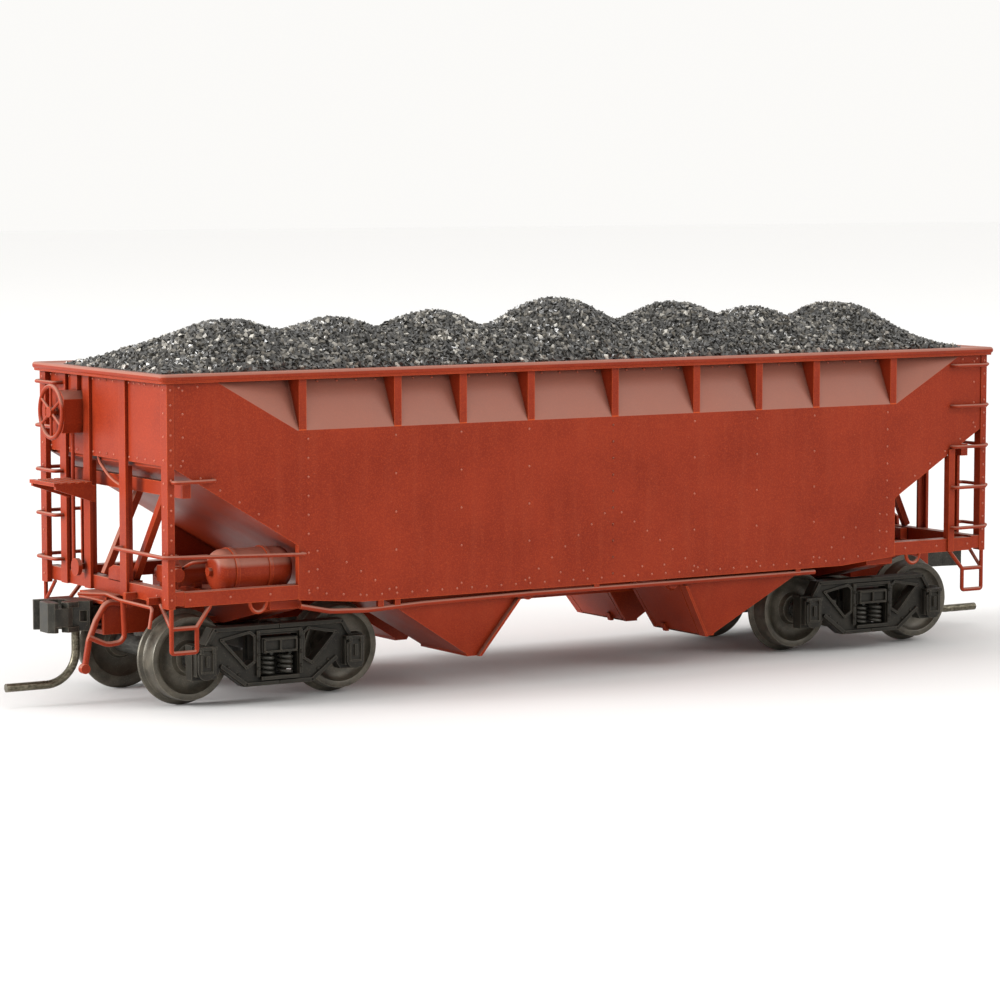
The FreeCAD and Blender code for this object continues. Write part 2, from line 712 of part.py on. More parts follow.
def end_frame():
    """The end sill with its five posts."""
    sill = box(("end_outer - end_sill_depth", "end_outer"), ("-side_outer", "side_outer"),
               ("side_sill_foot + 0.2", "side_sill_top + 0.2"))
    corner = prism("z", [
        ("post_end - corner_side_leg", "side_outer"), ("post_end - corner_side_leg", "side_outer + 0.15"),
        ("post_end", "side_outer + 0.15"), ("post_end", "side_outer + 0.15 - corner_leg"),
        ("end_outer", "side_outer + 0.15 - corner_leg"), ("end_outer", "side_outer")],
        ("side_sill_foot - 0.1", "rim_foot"))
    posts = [end_post("-ladder_post_place"), end_post("mid_post_spacing / 2"), end_post("-mid_post_spacing / 2")]
    return fuse(sill, corner, mirror(corner, "y"), *posts)


def strut(start, end, half_width, across):
    """A square diagonal between two places in a plane, whose normal is across."""
    first = Vector(*start)
    last = Vector(*end)
    side = (last - first).cross(across).normalize() * half_width
    depth = across * half_width
    corners = [first + side + depth, first + side - depth, first - side - depth, first - side + depth]
    far = [corner + (last - first) for corner in corners]
    return ruled([tuple(corner) for corner in corners], [tuple(corner) for corner in far])


def end_bracing():
    """The A end's beam under the slope sheet, the diagonal across to it and the brace back to the slope."""
    half_width = 0.4
    beam_width = 1.0
    beam_height = 1.5
    beam_x = at.end_inner - 1.4
    top = min(at.end_sheet_foot - 2.0, slope_under(beam_x) - 0.45)
    beam = Part.makeBox(beam_width, 2 * at.side_inner, beam_height,
                        Vector(beam_x - beam_width / 2, -at.side_inner, top - beam_height))
    foot = at.side_sill_top + 0.1
    foot_side = 2.2
    diagonal = strut((beam_x, foot_side, foot - 0.4), (beam_x, 11.0, top - 0.5), half_width, Vector(1, 0, 0))
    brace_x = at.end_inner - 4.7
    brace = strut((at.end_inner, -foot_side, foot + 0.28), (brace_x, -foot_side, slope_under(brace_x) - 0.1),
                  half_width, Vector(0, 1, 0))
    pad = Part.makeBox(beam_width, 7.0, 1.4, Vector(beam_x - beam_width / 2, -3.5, foot - 1.4))
    return beam.fuse([diagonal, pad]).removeSplitter(), brace


node("centre_sill", group(centre_sill(), both(draft_sill(), "x")))
node("side_sills", both(group(side_sill("notch_a"), mirror(side_sill("notch_b"), "x")), "y"))
node("body_bolsters", both(body_bolster(), "x"))
end_frame_a = end_frame()
node("end_frames", group(end_frame_a, moved(end_frame_a, half_turn=True)))
bracing_a = group(*[shaped(solid) for solid in end_bracing()])
node("end_bracing", group(bracing_a, moved(bracing_a, half_turn=True)))


# ---------------------------------------------------------------- draft boxes and couplers
def draft_box():
    """The box that holds the coupler's shank, open towards the end, with its pivot post."""
    shell = box(("box_back", "box_end"), ("-box_half", "box_half"), ("draft_box_foot", "draft_box_top"))
    cavity = box(("box_back + 1.2", "box_end + 1"), ("-box_half + draft_wall", "box_half - draft_wall"),
                 ("draft_box_foot + draft_wall", "draft_box_top - draft_wall"))
    post = rod("z", "pivot_radius", ("draft_box_foot + 0.1", "draft_box_top - 0.1"), ("coupler_pivot", "0"))
    hole = rod("z", "pivot_radius * 0.6", ("draft_box_foot - 1", "draft_box_top + 1"), ("coupler_pivot", "0"))
    return cut(fuse(cut(shell, cavity), post), hole)


def draft_screw():
    """The screw that holds the draft box up to its plate."""
    shank = rod("z", "pivot_radius * 0.6", ("draft_box_foot - 0.1", "draft_box_top"), ("coupler_pivot", "0"))
    head = rod("z", "pivot_radius * 1.2", ("draft_box_foot - 0.8", "draft_box_foot"), ("coupler_pivot", "0"))
    return fuse(shank, head)


def truck_screw():
    """The screw that the truck turns on, up into the body bolster."""
    shank = rod("z", "screw_radius", ("truck_bolster_foot - 0.2", "bolster_top - 0.6"), ("truck_place", "0"))
    head = rod("z", "screw_head_radius", ("truck_bolster_foot - 1.2", "truck_bolster_foot - 0.1"),
               ("truck_place", "0"))
    return fuse(shank, head)


def coupler():
    """The A end coupler: shank, head and guard arm in one casting. The knuckle is on its left side."""
    half = at.shank_depth / 2
    face = at.knuckle_face
    foot = at.coupler_height - half
    neck = face - 5.6
    shank = Part.makeBox(neck - at.coupler_pivot + 0.1, at.shank_width, at.shank_depth,
                         Vector(at.coupler_pivot, -at.shank_width / 2, foot))
    eye = Part.makeCylinder(2.0, at.shank_depth, Vector(at.coupler_pivot, 0, foot))
    bore = Part.makeCylinder(at.pivot_radius + at.pivot_play, at.shank_depth + 2,
                             Vector(at.coupler_pivot, 0, foot - 1))
    head_half = at.head_half
    head_outline = [(neck, -1.5), (neck + 0.5, -2.1), (face - 2.9, -2.3), (face - 0.2, -2.9), (face, -2.3),
                    (face - 2.6, -1.2), (face - 3.1, -0.6), (face - 3.1, 1.05), (neck + 0.6, 1.9),
                    (neck, 1.5)]
    corners = [Vector(x, y, at.coupler_height - head_half) for x, y in head_outline]
    head = Part.Face(Part.makePolygon(corners + corners[:1])).extrude(Vector(0, 0, 2 * head_half))
    slot = Part.makeBox(0.7, 1.2, 1.2, Vector(neck + 0.9, 1.3, at.coupler_height - 0.6))
    ear_reach = face - 2.2
    ears = []
    for low in (at.coupler_height - head_half, at.coupler_height + head_half - 0.6):
        ear = [(face - 3.4, 0.6), (ear_reach, 0.7), (ear_reach + 0.5, 1.5), (ear_reach, 2.2),
               (face - 3.6, 2.0)]
        loop = [Vector(x, y, low) for x, y in ear]
        ears.append(Part.Face(Part.makePolygon(loop + loop[:1])).extrude(Vector(0, 0, 0.6)))
    pin = Part.makeCylinder(at.knuckle_pin_radius, 2 * head_half,
                            Vector(knuckle_pivot.x, knuckle_pivot.y, at.coupler_height - head_half))
    trip_hole = Part.makeCylinder(at.trip_wire, 2.2, Vector(trip_place, 0, at.coupler_height - head_half))
    body = shank.fuse([eye, head] + ears).cut(slot).fuse(pin).cut(bore).cut(trip_hole)
    return body.removeSplitter()


knuckle_pivot = SimpleNamespace(x=at.knuckle_face - 2.45, y=1.45)
trip_place = at.knuckle_face - 4.1


def knuckle():
    """The A end knuckle, which hooks in front of the head and turns on the pin between its ears."""
    face = at.knuckle_face
    half = at.head_half
    arm = [(knuckle_pivot.x - 0.35, 0.85), (knuckle_pivot.x + 0.2, 0.8), (face - 1.35, 0.5),
           (face - 1.25, -0.9), (face - 0.35, -1.0), (face, -0.6), (face, 1.5), (face - 0.6, 2.1),
           (knuckle_pivot.x + 0.2, 2.1), (knuckle_pivot.x - 0.35, 2.0)]
    loop = [Vector(x, y, at.coupler_height - half + 0.66) for x, y in arm]
    tongue = Part.Face(Part.makePolygon(loop + loop[:1])).extrude(Vector(0, 0, 2 * half - 1.32))
    nose_outline = [(face - 1.35, 0.5), (face - 1.25, -0.9), (face - 0.35, -1.0), (face, -0.6),
                    (face, 1.5), (face - 0.6, 2.1), (face - 1.1, 2.0)]
    loop = [Vector(x, y, at.coupler_height - half) for x, y in nose_outline]
    nose = Part.Face(Part.makePolygon(loop + loop[:1])).extrude(Vector(0, 0, 2 * half))
    bore = Part.makeCylinder(at.knuckle_pin_radius + at.hinge_play, 2 * half,
                             Vector(knuckle_pivot.x, knuckle_pivot.y, at.coupler_height - half))
    return tongue.fuse(nose).cut(bore).removeSplitter()


def trip_pin():
    """The bent pin under the coupler head, down to near the rails and out in front."""
    top = at.coupler_height - at.head_half + 2.2
    points = [(trip_place, 0, top), (trip_place, 0, at.trip_foot), (at.knuckle_face + at.trip_reach, 0, at.trip_foot)]
    return bent_wire(points, at.trip_wire, at.trip_bend)


box_a = draft_box()
node("draft_boxes", both(box_a, "x"))
node("draft_box_screws", both(draft_screw(), "x"))
node("truck_screws", both(truck_screw(), "x"))
for name, shape in (("coupler", coupler()), ("knuckle", knuckle()), ("trip_pin", trip_pin())):
    fitting = node(name + "_a", shaped(shape))
    node(name + "_b", moved(fitting, half_turn=True))


# ---------------------------------------------------------------- trucks
def sideframe():
    """A cast sideframe in the truck's own place, with its journal boxes, openings and bearing cones."""
    y_low = "frame_inner"
    y_high = "frame_inner + frame_wall"
    body = doc.addObject("PartDesign::Body", "sideframe")
    right = [("axle_place - 1.6", "box_foot"), ("axle_place + 1.3", "box_foot"), ("axle_place + 1.3", "box_top"),
             ("axle_place - 0.3", "box_top"), ("axle_place - 1.3", "frame_top")]
    left = [(f"-({x})", z) for x, z in reversed(right)]
    rise = "axle_height - 1.05"
    foot = [("-(axle_place - 2.3)", rise), ("-4.4", "frame_foot"), ("4.4", "frame_foot"),
            ("axle_place - 2.3", rise)]
    outline = outline_sketch(body, "y", foot + right + left)
    outline.setExpression("AttachmentOffset.Base.z", known(f"-({y_high})"))
    pad = body.newObject("PartDesign::Pad", "pad")
    pad.Profile = outline
    pad.setExpression("Length", known("frame_wall"))
    column = "truck_bolster_width / 2 + 0.15"
    window = [(f"-({column})", "frame_foot + 1.0"), (column, "frame_foot + 1.0"),
              (column, "truck_bolster_top - 0.1"), (f"-({column})", "truck_bolster_top - 0.1")]
    triangle = [(f"{column} + 0.65", "frame_foot + 2.8"), (f"{column} + 1.75", "frame_foot + 2.2"),
                ("axle_place - 2.2", "frame_top - 1.4"), (f"{column} + 1.15", "frame_top - 0.7"),
                (f"{column} + 0.65", "frame_top - 1.2")]
    openings = [window, triangle, [(f"-({x})", z) for x, z in reversed(triangle)]]
    for outline_points in openings:
        sketch = outline_sketch(body, "y", outline_points)
        sketch.setExpression("AttachmentOffset.Base.z", known(f"-({y_high}) - 1"))
        pocket = body.newObject("PartDesign::Pocket", "opening")
        pocket.Profile = sketch
        pocket.setExpression("Length", known("frame_wall + 2"))
        pocket.Reversed = True
    lid = box(("axle_place - 1.4", "axle_place + 1.1"), (y_high, f"{y_high} + 0.7"),
              ("box_foot + 0.5", "box_top - 0.3"))
    frame = fuse(body, lid, mirror(lid, "x"))
    return cut(frame, bearing("axle_place"), bearing("-axle_place"))


def bearing(place_x):
    """The cone in a sideframe that one pointed axle end runs in."""
    cone = doc.addObject("Part::Cone", "bearing")
    cone.setExpression("Radius1", known("bearing_mouth"))
    cone.Radius2 = 0.1
    cone.setExpression("Height", known("cone_depth + bearing_play"))
    cone.Placement = Placement(Vector(), turns["y"])
    return place(cone, place_x, "frame_inner", "axle_height")


def truck_bolster():
    """The cross beam that carries the car on its middle and stands on the springs at its ends."""
    half = "truck_bolster_width / 2"
    tip = "frame_inner + frame_wall + 0.35"
    beam = prism("x", [
        (f"-({tip})", "truck_bolster_foot"), (tip, "truck_bolster_foot"), (tip, "truck_bolster_top - 0.4"),
        ("frame_inner - 0.6", "truck_bolster_top - 0.4"), ("frame_inner - 2.4", "truck_bolster_top"),
        ("-(frame_inner - 2.4)", "truck_bolster_top"), ("-(frame_inner - 0.6)", "truck_bolster_top - 0.4"),
        (f"-({tip})", "truck_bolster_top - 0.4")], (f"-({half})", half))
    hole = rod("z", "screw_radius + swivel_play", ("truck_bolster_foot - 1", "truck_bolster_top + 1"), ("0", "0"))
    return cut(beam, hole)


def truck_springs():
    """The two coil springs under one end of the bolster."""
    foot = at.frame_foot + 1.0
    side = at.frame_inner + at.frame_wall / 2
    height = at.truck_bolster_foot - foot
    return group(*[shaped(coil(at.spring_radius, at.spring_wire, height, 4, (x, side, foot)))
                   for x in (-1.2, 1.2)])


def wheel():
    """The left wheel of a wheelset, turned about Y, with its flange on the inner side."""
    return turned("y", [
        ("wheel_inner", "flange_radius - 0.5"), ("wheel_inner + 0.2", "flange_radius"),
        ("wheel_inner + 0.5", "flange_radius"), ("wheel_inner + 0.8", "tread_radius + 0.05"),
        ("wheel_outer - 0.15", "tread_radius - 0.05"), ("wheel_outer", "tread_radius - 0.2"),
        ("wheel_outer", "tread_radius - 0.75"), ("wheel_outer - 0.45", "tread_radius - 0.95"),
        ("wheel_outer - 0.95", "tread_radius - 2.2"), ("wheel_outer - 0.85", "axle_radius + 0.9"),
        ("wheel_outer - 0.15", "axle_radius + 0.6"), ("wheel_outer - 0.15", "axle_radius"),
        ("wheel_inner + 0.1", "axle_radius"), ("wheel_inner + 0.1", "axle_radius + 0.6"),
        ("wheel_inner + 0.9", "axle_radius + 0.9"), ("wheel_inner + 0.9", "tread_radius - 2.2"),
        ("wheel_inner + 0.5", "tread_radius - 0.95"), ("wheel_inner", "tread_radius - 0.75")])


def axle():
    """The axle, with a pointed end for each bearing."""
    tip = "axle_half"
    return turned("y", [
        (f"-({tip})", "0"), (f"-({tip})", "0.1"), (f"-({tip} - axle_cone)", "axle_journal"),
        ("-(wheel_outer + 0.1)", "axle_journal"), ("-(wheel_outer + 0.1)", "axle_radius"),
        ("wheel_outer + 0.1", "axle_radius"), ("wheel_outer + 0.1", "axle_journal"),
        (f"{tip} - axle_cone", "axle_journal"), (tip, "0.1"), (tip, "0")])


sideframes = both(sideframe(), "y")
springs = both(truck_springs(), "y")
bolster = truck_bolster()
wheels = both(wheel(), "y")
axle_piece = axle()
for end, sign in (("a", ""), ("b", "-")):
    node("truck_bolster_" + end, moved(bolster, x=f"{sign}truck_place"))
    node("sideframes_" + end, moved(sideframes, x=f"{sign}truck_place"))
    node("truck_springs_" + end, moved(springs, x=f"{sign}truck_place"))
    for number, offset in ((1, "- axle_place"), (2, "+ axle_place")):
        spot = f"{sign}truck_place {offset}"
        node(f"wheels_{end}{number}", moved(wheels, x=spot, z="axle_height"))
        node(f"axle_{end}{number}", moved(axle_piece, x=spot, z="axle_height"))


# ---------------------------------------------------------------- hand brake, on the B end
def brake_wheel():
    """An open rim on six spokes, with the shaft that runs in the brake housing."""
    rim_reach = at.brake_wheel_radius - at.brake_rim_radius
    x = -(at.post_face + at.brake_stand_off)
    centre = Vector(x, at.wheel_centre_side, at.wheel_centre_height)
    along = Vector(1, 0, 0)
    rim = Part.makeTorus(rim_reach, at.brake_rim_radius, centre, along)
    hub = Part.makeCylinder(0.6, 0.7, centre - along * 0.35, along)
    shaft = Part.makeCylinder(at.brake_shaft_radius, at.brake_stand_off - 0.6, centre, along)
    spokes = []
    for index in range(6):
        angle = math.radians(60 * index + 30)
        outward = Vector(0, math.cos(angle), math.sin(angle))
        spokes.append(Part.makeCylinder(0.17, rim_reach - 0.3, centre + outward * 0.3, outward))
    return hub.fuse([rim, shaft] + spokes)


def brake_housing():
    """The gear housing between the posts, on the end sheet, with the strap that holds it up to the chord."""
    centre_y = at.wheel_centre_side
    half = at.brake_case_half
    low = at.wheel_centre_height - 2.4
    high = at.wheel_centre_height + 2.4
    outline = [(centre_y - half + 0.6, low), (centre_y + half - 0.6, low), (centre_y + half, low + 1.2),
               (centre_y + half, high - 0.9), (centre_y + half - 0.9, high), (centre_y - half + 0.9, high),
               (centre_y - half, high - 0.9), (centre_y - half, low + 1.2)]
    face = -(at.post_face + at.brake_case_depth)
    loop = [Vector(face, y, z) for y, z in outline]
    case = Part.Face(Part.makePolygon(loop + loop[:1])).extrude(Vector(-at.end_outer - face, 0, 0))
    bore = Part.makeCylinder(at.brake_shaft_radius + at.hinge_play, at.brake_case_depth - 0.4,
                             Vector(face, centre_y, at.wheel_centre_height), Vector(1, 0, 0))
    strap = Part.makeBox(0.5, 1.6, at.rim_foot - high + 0.4, Vector(-at.end_outer - 0.5, centre_y - 0.8, high - 0.4))
    return case.fuse(strap).cut(bore)


rigging_place = (-(at.post_face + at.rigging_stand_off), at.wheel_centre_side - 1.1)


def brake_rigging():
    """The chain rod down from the housing, its bell crank and the rod back under the car."""
    x, side = rigging_place
    top = at.wheel_centre_height - 2.4
    foot = at.side_sill_top + 1.2
    down = Part.makeCylinder(0.22, top - foot, Vector(x, side, foot))
    crank = Part.makeCylinder(1.0, 0.5, Vector(x - 0.25, side - 0.7, foot - 0.2), Vector(1, 0, 0))
    arm = Part.makeBox(1.4, 0.6, 0.6, Vector(x, side - 0.6, foot - 0.5))
    return down.fuse([crank, arm])


def brake_platform():
    """The slatted step under the brake wheel, on two brackets."""
    front = at.post_face + at.platform_depth
    low = at.platform_side - at.platform_width / 2
    high = low + at.platform_width
    slats = []
    count = 5
    pitch = at.platform_depth / count
    for index in range(count):
        slats.append(Part.makeBox(pitch * 0.6, at.platform_width, 0.4,
                                  Vector(-front + index * pitch, low, at.platform_height)))
    ties = []
    for share in (0.0, 0.25, 0.5, 0.75, 1.0):
        y = low + share * (at.platform_width - 0.4)
        ties.append(Part.makeBox(at.platform_depth - pitch * 0.4, 0.4, 0.3, Vector(-front, y, at.platform_height)))
    brackets = [Part.makeBox(0.4, at.ladder_post_place - low, 0.7,
                             Vector(-at.post_face - 0.4, low, at.platform_height - 0.7))]
    for side, depth in ((low, 1.9), (high - 0.5, 1.9)):
        loop = [Vector(-at.post_face, side, at.platform_height), Vector(-front + 0.2, side, at.platform_height),
                Vector(-front + 0.2, side, at.platform_height - 0.35),
                Vector(-at.post_face - 0.3, side, at.platform_height - depth),
                Vector(-at.post_face, side, at.platform_height - depth)]
        brackets.append(Part.Face(Part.makePolygon(loop + loop[:1])).extrude(Vector(0, 0.5, 0)))
    rod_hole = Part.makeCylinder(0.35, 2, Vector(*rigging_place, at.platform_height - 1))
    return slats[0].fuse(slats[1:] + ties + brackets).cut(rod_hole).removeSplitter()


node("brake_wheel", shaped(brake_wheel()))
node("brake_housing", shaped(brake_housing()))
node("brake_rigging", shaped(brake_rigging()))
node("brake_platform", shaped(brake_platform()))


# ---------------------------------------------------------------- air brake gear, under the B end slope
tank = SimpleNamespace(low=-(at.truck_place + 7.8), high=-(at.truck_place - 1.7),
                       y=at.tank_radius + at.tank_gap - at.side_inner, z=at.bolster_top + at.tank_radius + 0.75)
cylinder_y = tank.y + at.cylinder_spacing
valve_y = tank.y + at.valve_spacing
carrier_places = (-(at.truck_place + 6.4), -(at.truck_place + 11.0))
carrier_top = at.side_sill_foot + 0.7


def air_reservoir():
    """A domed tank with a band round each end."""
    length = tank.high - tank.low
    radius = at.tank_radius
    body = Part.makeCylinder(radius, length, Vector(tank.low, tank.y, tank.z), Vector(1, 0, 0))
    body = body.makeFillet(radius * 0.55, [edge for edge in body.Edges if edge.Closed and edge.Length > 10])
    bands = []
    for x in (tank.low + 1.9, tank.high - 3.4):
        bands.append(Part.makeCylinder(radius + 0.15, 0.45, Vector(x, tank.y, tank.z), Vector(1, 0, 0)))
    plug = Part.makeCylinder(0.45, 0.9, Vector(tank.low - 0.5, tank.y, tank.z), Vector(1, 0, 0))
    return body.fuse(bands + [plug])


def equipment_carriers():
    """Two cross ties on the sills, and the saddles that the tank lies in."""
    ties = []
    for x in carrier_places:
        ties.append(Part.makeBox(1.0, at.side_inner - at.sill_web + at.sill_half, 0.5,
                                 Vector(x - 0.5, -(at.side_inner - at.sill_web), at.side_sill_foot + 0.2)))
    saddles = []
    for x, foot in ((carrier_places[0], carrier_top), (-at.truck_place, at.bolster_top)):
        block = Part.makeBox(0.8, 3.4, tank.z - foot, Vector(x - 0.4, tank.y - 1.7, foot))
        seat = Part.makeCylinder(at.tank_radius, 0.8, Vector(x - 0.4, tank.y, tank.z), Vector(1, 0, 0))
        saddles.append(block.cut(seat))
    return Part.makeCompound([ties[0].fuse(saddles[0]), ties[1], saddles[1]])


def brake_cylinder():
    """The brake cylinder, its head flange and push rod."""
    x = carrier_places[0] - 2.6
    length = 4.4
    rise = at.cylinder_radius + 0.2
    centre = Vector(x, cylinder_y, carrier_top + rise)
    along = Vector(1, 0, 0)
    barrel = Part.makeCylinder(at.cylinder_radius, length, centre, along)
    flange = Part.makeCylinder(rise, 0.5, centre, along)
    rod_out = Part.makeCylinder(0.35, 2.6, centre + along * length, along)
    foot = Part.makeBox(1.0, 2.2, rise, Vector(carrier_places[0] - 0.5, cylinder_y - 1.1, carrier_top))
    return barrel.fuse([flange, rod_out, foot])


def control_valve():
    """The control valve on its bracket."""
    x = carrier_places[1]
    half = 1.5
    bracket = Part.makeBox(1.0, 2.4, 1.2, Vector(x - 0.5, valve_y - 1.2, carrier_top))
    body = Part.makeBox(1.6, 2 * half, 1.8, Vector(x - 0.8, valve_y - half, carrier_top + 1.2))
    lobes = []
    for outward in (-1, 1):
        face = Vector(x, valve_y + outward * half, carrier_top + 2.1)
        lobes.append(Part.makeCylinder(0.75, 0.8, face, Vector(0, outward, 0)))
    cap = Part.makeCylinder(0.6, 0.7, Vector(x, valve_y, carrier_top + 3.0))
    return bracket.fuse([body, cap] + lobes)


def air_pipes():
    """The two pipes from the valve to the tank."""
    x = carrier_places[1]
    top = carrier_top + 2.6
    out_y = valve_y - 0.6
    first = bent_wire([(x + 0.8, out_y, top), (x + 1.4, out_y, top), (x + 1.5, tank.y + 1.2, tank.z + 1.0),
                       (tank.low + 0.05, tank.y + 1.2, tank.z + 1.0)], 0.2, 0.6)
    second = bent_wire([(x, valve_y + 2.3, carrier_top + 2.1), (x, cylinder_y, carrier_top + 2.1),
                        (carrier_places[0] - 2.6, cylinder_y, carrier_top + 2.1)], 0.2, 0.4)
    return Part.makeCompound([first, second])


def train_line():
    """The brake pipe that hangs just under the right side sheet, on four hangers."""
    y = -(at.side_inner + 0.35)
    z = at.side_foot - at.line_drop
    half = at.level_foot
    points = [(-half - 7.0, y, z + 0.5), (-half - 3.2, y, z - 0.3), (-half + 1.5, y, z - 0.5),
              (-half + 9.0, y, z - 0.2), (-half + 24.0, y, z), (half - 3.0, y, z)]
    pipe = bent_wire(points, at.pipe_radius, 6.0)
    hangers = []
    for x in (-half + 3.0, -half + 5.2, -1.6, half - 6.0):
        hangers.append(Part.makeBox(0.7, 0.5, at.side_foot - z + 0.2, Vector(x, y - 0.25, z - 0.2)))
    return pipe.fuse(hangers)


node("air_reservoir", shaped(air_reservoir()))
node("equipment_carriers", shaped(equipment_carriers()))
node("brake_cylinder", shaped(brake_cylinder()))
node("control_valve", shaped(control_valve()))
node("air_pipes", group(shaped(air_pipes()), shaped(train_line())))


# ---------------------------------------------------------------- steps, irons, levers and hoses
def iron(start, end, outward):
    """A grab iron: a wire bent in at both ends to the face that it stands off."""
    reach = [offset * at.grab_stand_off for offset in outward]
    raised = [[a + b for a, b in zip(point, reach)] for point in (start, end)]
    return bent_wire([start, raised[0], raised[1], end], at.grab_radius, 0.45)


def ladder_rungs():
    """The rungs of the A end's right corner, on the side and on the end."""
    rungs = []
    side_y = -(at.side_outer + 0.15)
    near_x = at.post_end - at.ladder_width - 1.0
    top_rung = at.rim_foot - at.rung_drop
    count = 1 + int((top_rung - at.side_sill_top) / at.rung_pitch)
    for index in range(count):
        z = top_rung - index * at.rung_pitch
        near_y = -at.side_outer if z > slope_under(near_x + 0.5) else -at.side_outer - 0.3
        rungs.append(iron((near_x, near_y, z), (at.post_end - 0.6, side_y, z), (0, -1, 0)))
        front = at.post_end + at.grab_stand_off
        near_end, far_end = -at.ladder_post_place, -(at.side_outer - 0.5)
        rungs.append(bent_wire([(at.post_face, near_end, z), (front, near_end, z), (front, far_end, z),
                                (at.post_end, far_end, z)], at.grab_radius, 0.45))
    return Part.makeCompound(rungs)


def ladder_stile():
    """The side ladder's inner stile, an angle from the side sill up to the slope sheet's edge."""
    x = at.post_end - at.ladder_width - 1.0
    top = slope_under(x - 0.5) - 0.1
    flange = Part.makeBox(0.9, 0.3, top - at.side_sill_foot + 0.8,
                          Vector(x - 0.45, -at.side_outer - 0.3, at.side_sill_foot))
    web = Part.makeBox(0.3, 0.7, top - at.side_sill_top, Vector(x - 0.45, -at.side_outer, at.side_sill_top))
    return flange.fuse(web)


def corner_irons():
    """The irons of the A end's left corner: one on the side and the handrail round the corner."""
    side = at.side_outer + 0.15
    z = at.end_sheet_foot - 1.6
    upper = iron((at.post_end - 5.6, side - 0.15, z), (at.post_end - 0.6, side, z), (0, 1, 0))
    rail = at.side_sill_top + 4.1
    off = at.grab_stand_off
    handrail = bent_wire([
        (at.post_face, at.mid_post_spacing / 2, rail), (at.post_end + off, at.mid_post_spacing / 2, rail),
        (at.post_end + off, side + off, rail), (at.notch - 1.4, side + off, rail - 0.6),
        (at.notch - 1.4, at.side_outer, rail - 0.6)], at.grab_radius, 0.6)
    return Part.makeCompound([upper, handrail])


def sill_step():
    """A two-tread step under the A end's left corner, bent from square wire."""
    y = at.side_outer
    front = at.post_end - 0.45
    rear = front - 3.1
    top = at.side_sill_foot
    middle = at.step_tread + 2.7
    outline = bent_wire([(front, y, top - 0.1), (front, y, at.step_tread), (rear, y, at.step_tread),
                         (rear, y, middle), (rear - 1.8, y - 0.3, top - 0.05)], 0.25, 0.3)
    tread = Part.makeCylinder(0.25, front - rear, Vector(rear, y, middle), Vector(1, 0, 0))
    brace = bent_wire([(front, y, middle), (front, y - 1.0, middle + 0.9), (front, y - 2.6, top + 0.15)], 0.22, 0.5)
    return outline.fuse([tread, brace])


def roping_staple():
    """A hanging loop under the side sill."""
    x = at.truck_place + 4.2
    y = at.side_outer - 0.3
    low = at.side_sill_foot - 1.1
    return bent_wire([(x - 1.0, y, at.side_sill_foot), (x - 1.0, y, low), (x + 1.0, y, low),
                      (x + 1.0, y, at.side_sill_foot)], 0.22, 0.7)


def uncoupling_lever():
    """The A end lever: its handle at the left corner and its end over the coupler head."""
    x = at.post_end + 0.75
    z = at.side_sill_foot - 0.05
    hook_y = 6.0
    bar = bent_wire([(x + 0.8, at.side_outer - 1.4, z - 2.2), (x + 0.2, at.side_outer - 1.8, z), (x, hook_y, z),
                     (x + 0.5, 3.6, z + 0.45), (x + 2.9, 1.2, z + 0.45)], 0.2, 0.6)
    hook = bent_wire([(x - 0.3, hook_y, z), (x - 0.5, hook_y, z - 4.7), (x + 1.6, hook_y - 0.2, z - 4.9),
                      (x + 3.8, hook_y - 0.4, z - 3.9)], 0.3, 1.9)
    eyes = []
    for y in (hook_y + 0.8, at.side_outer - 3.6):
        eyes.append(Part.makeBox(x - at.end_outer, 0.5, 0.75, Vector(at.end_outer, y, z + 0.2)))
    return bar.fuse([hook] + eyes)


def air_hose():
    """The A end brake hose: its angle fitting at the end sill, the hose and the gladhand."""
    x = at.post_end
    y = 4.0
    top = at.side_sill_foot + 0.3
    hose = bent_wire([(at.end_outer - 0.4, y, top - 1.0), (x + 1.5, y, top - 0.7), (x + 2.8, y, top - 2.7),
                      (x + 3.75, y + 0.1, top - 4.9), (x + 4.35, y + 0.2, top - 8.0)], 0.36, 1.2)
    hand = Part.makeCylinder(0.55, 0.8, Vector(x + 4.4, y - 0.2, top - 8.0), Vector(0, 1, 0))
    hanger = Part.makeBox(0.8, 1.0, 1.3, Vector(at.end_outer - 0.8, y - 0.5, top - 1.4))
    return hose.fuse([hand, hanger])


ladder_a = group(shaped(ladder_rungs()), shaped(ladder_stile()))
node("ladders", group(ladder_a, moved(ladder_a, half_turn=True)))
irons_a = shaped(corner_irons())
node("corner_irons", group(irons_a, moved(irons_a, half_turn=True)))
node("sill_steps", four(shaped(sill_step())))
node("roping_staples", four(shaped(roping_staple())))
lever_a = shaped(uncoupling_lever())
node("uncoupling_levers", group(lever_a, moved(lever_a, half_turn=True)))
hose_a = shaped(air_hose())
node("air_hoses", group(hose_a, moved(hose_a, half_turn=True)))


# ---------------------------------------------------------------- coal load
def coal_tray():
    """The load's flat base, which drops inside the chord."""
    half = "lean_inner - coal_gap"
    end = "end_inner - coal_gap"
    return box((f"-({end})", end), (f"-({half})", half), ("coal_foot", "coal_shoulder"))


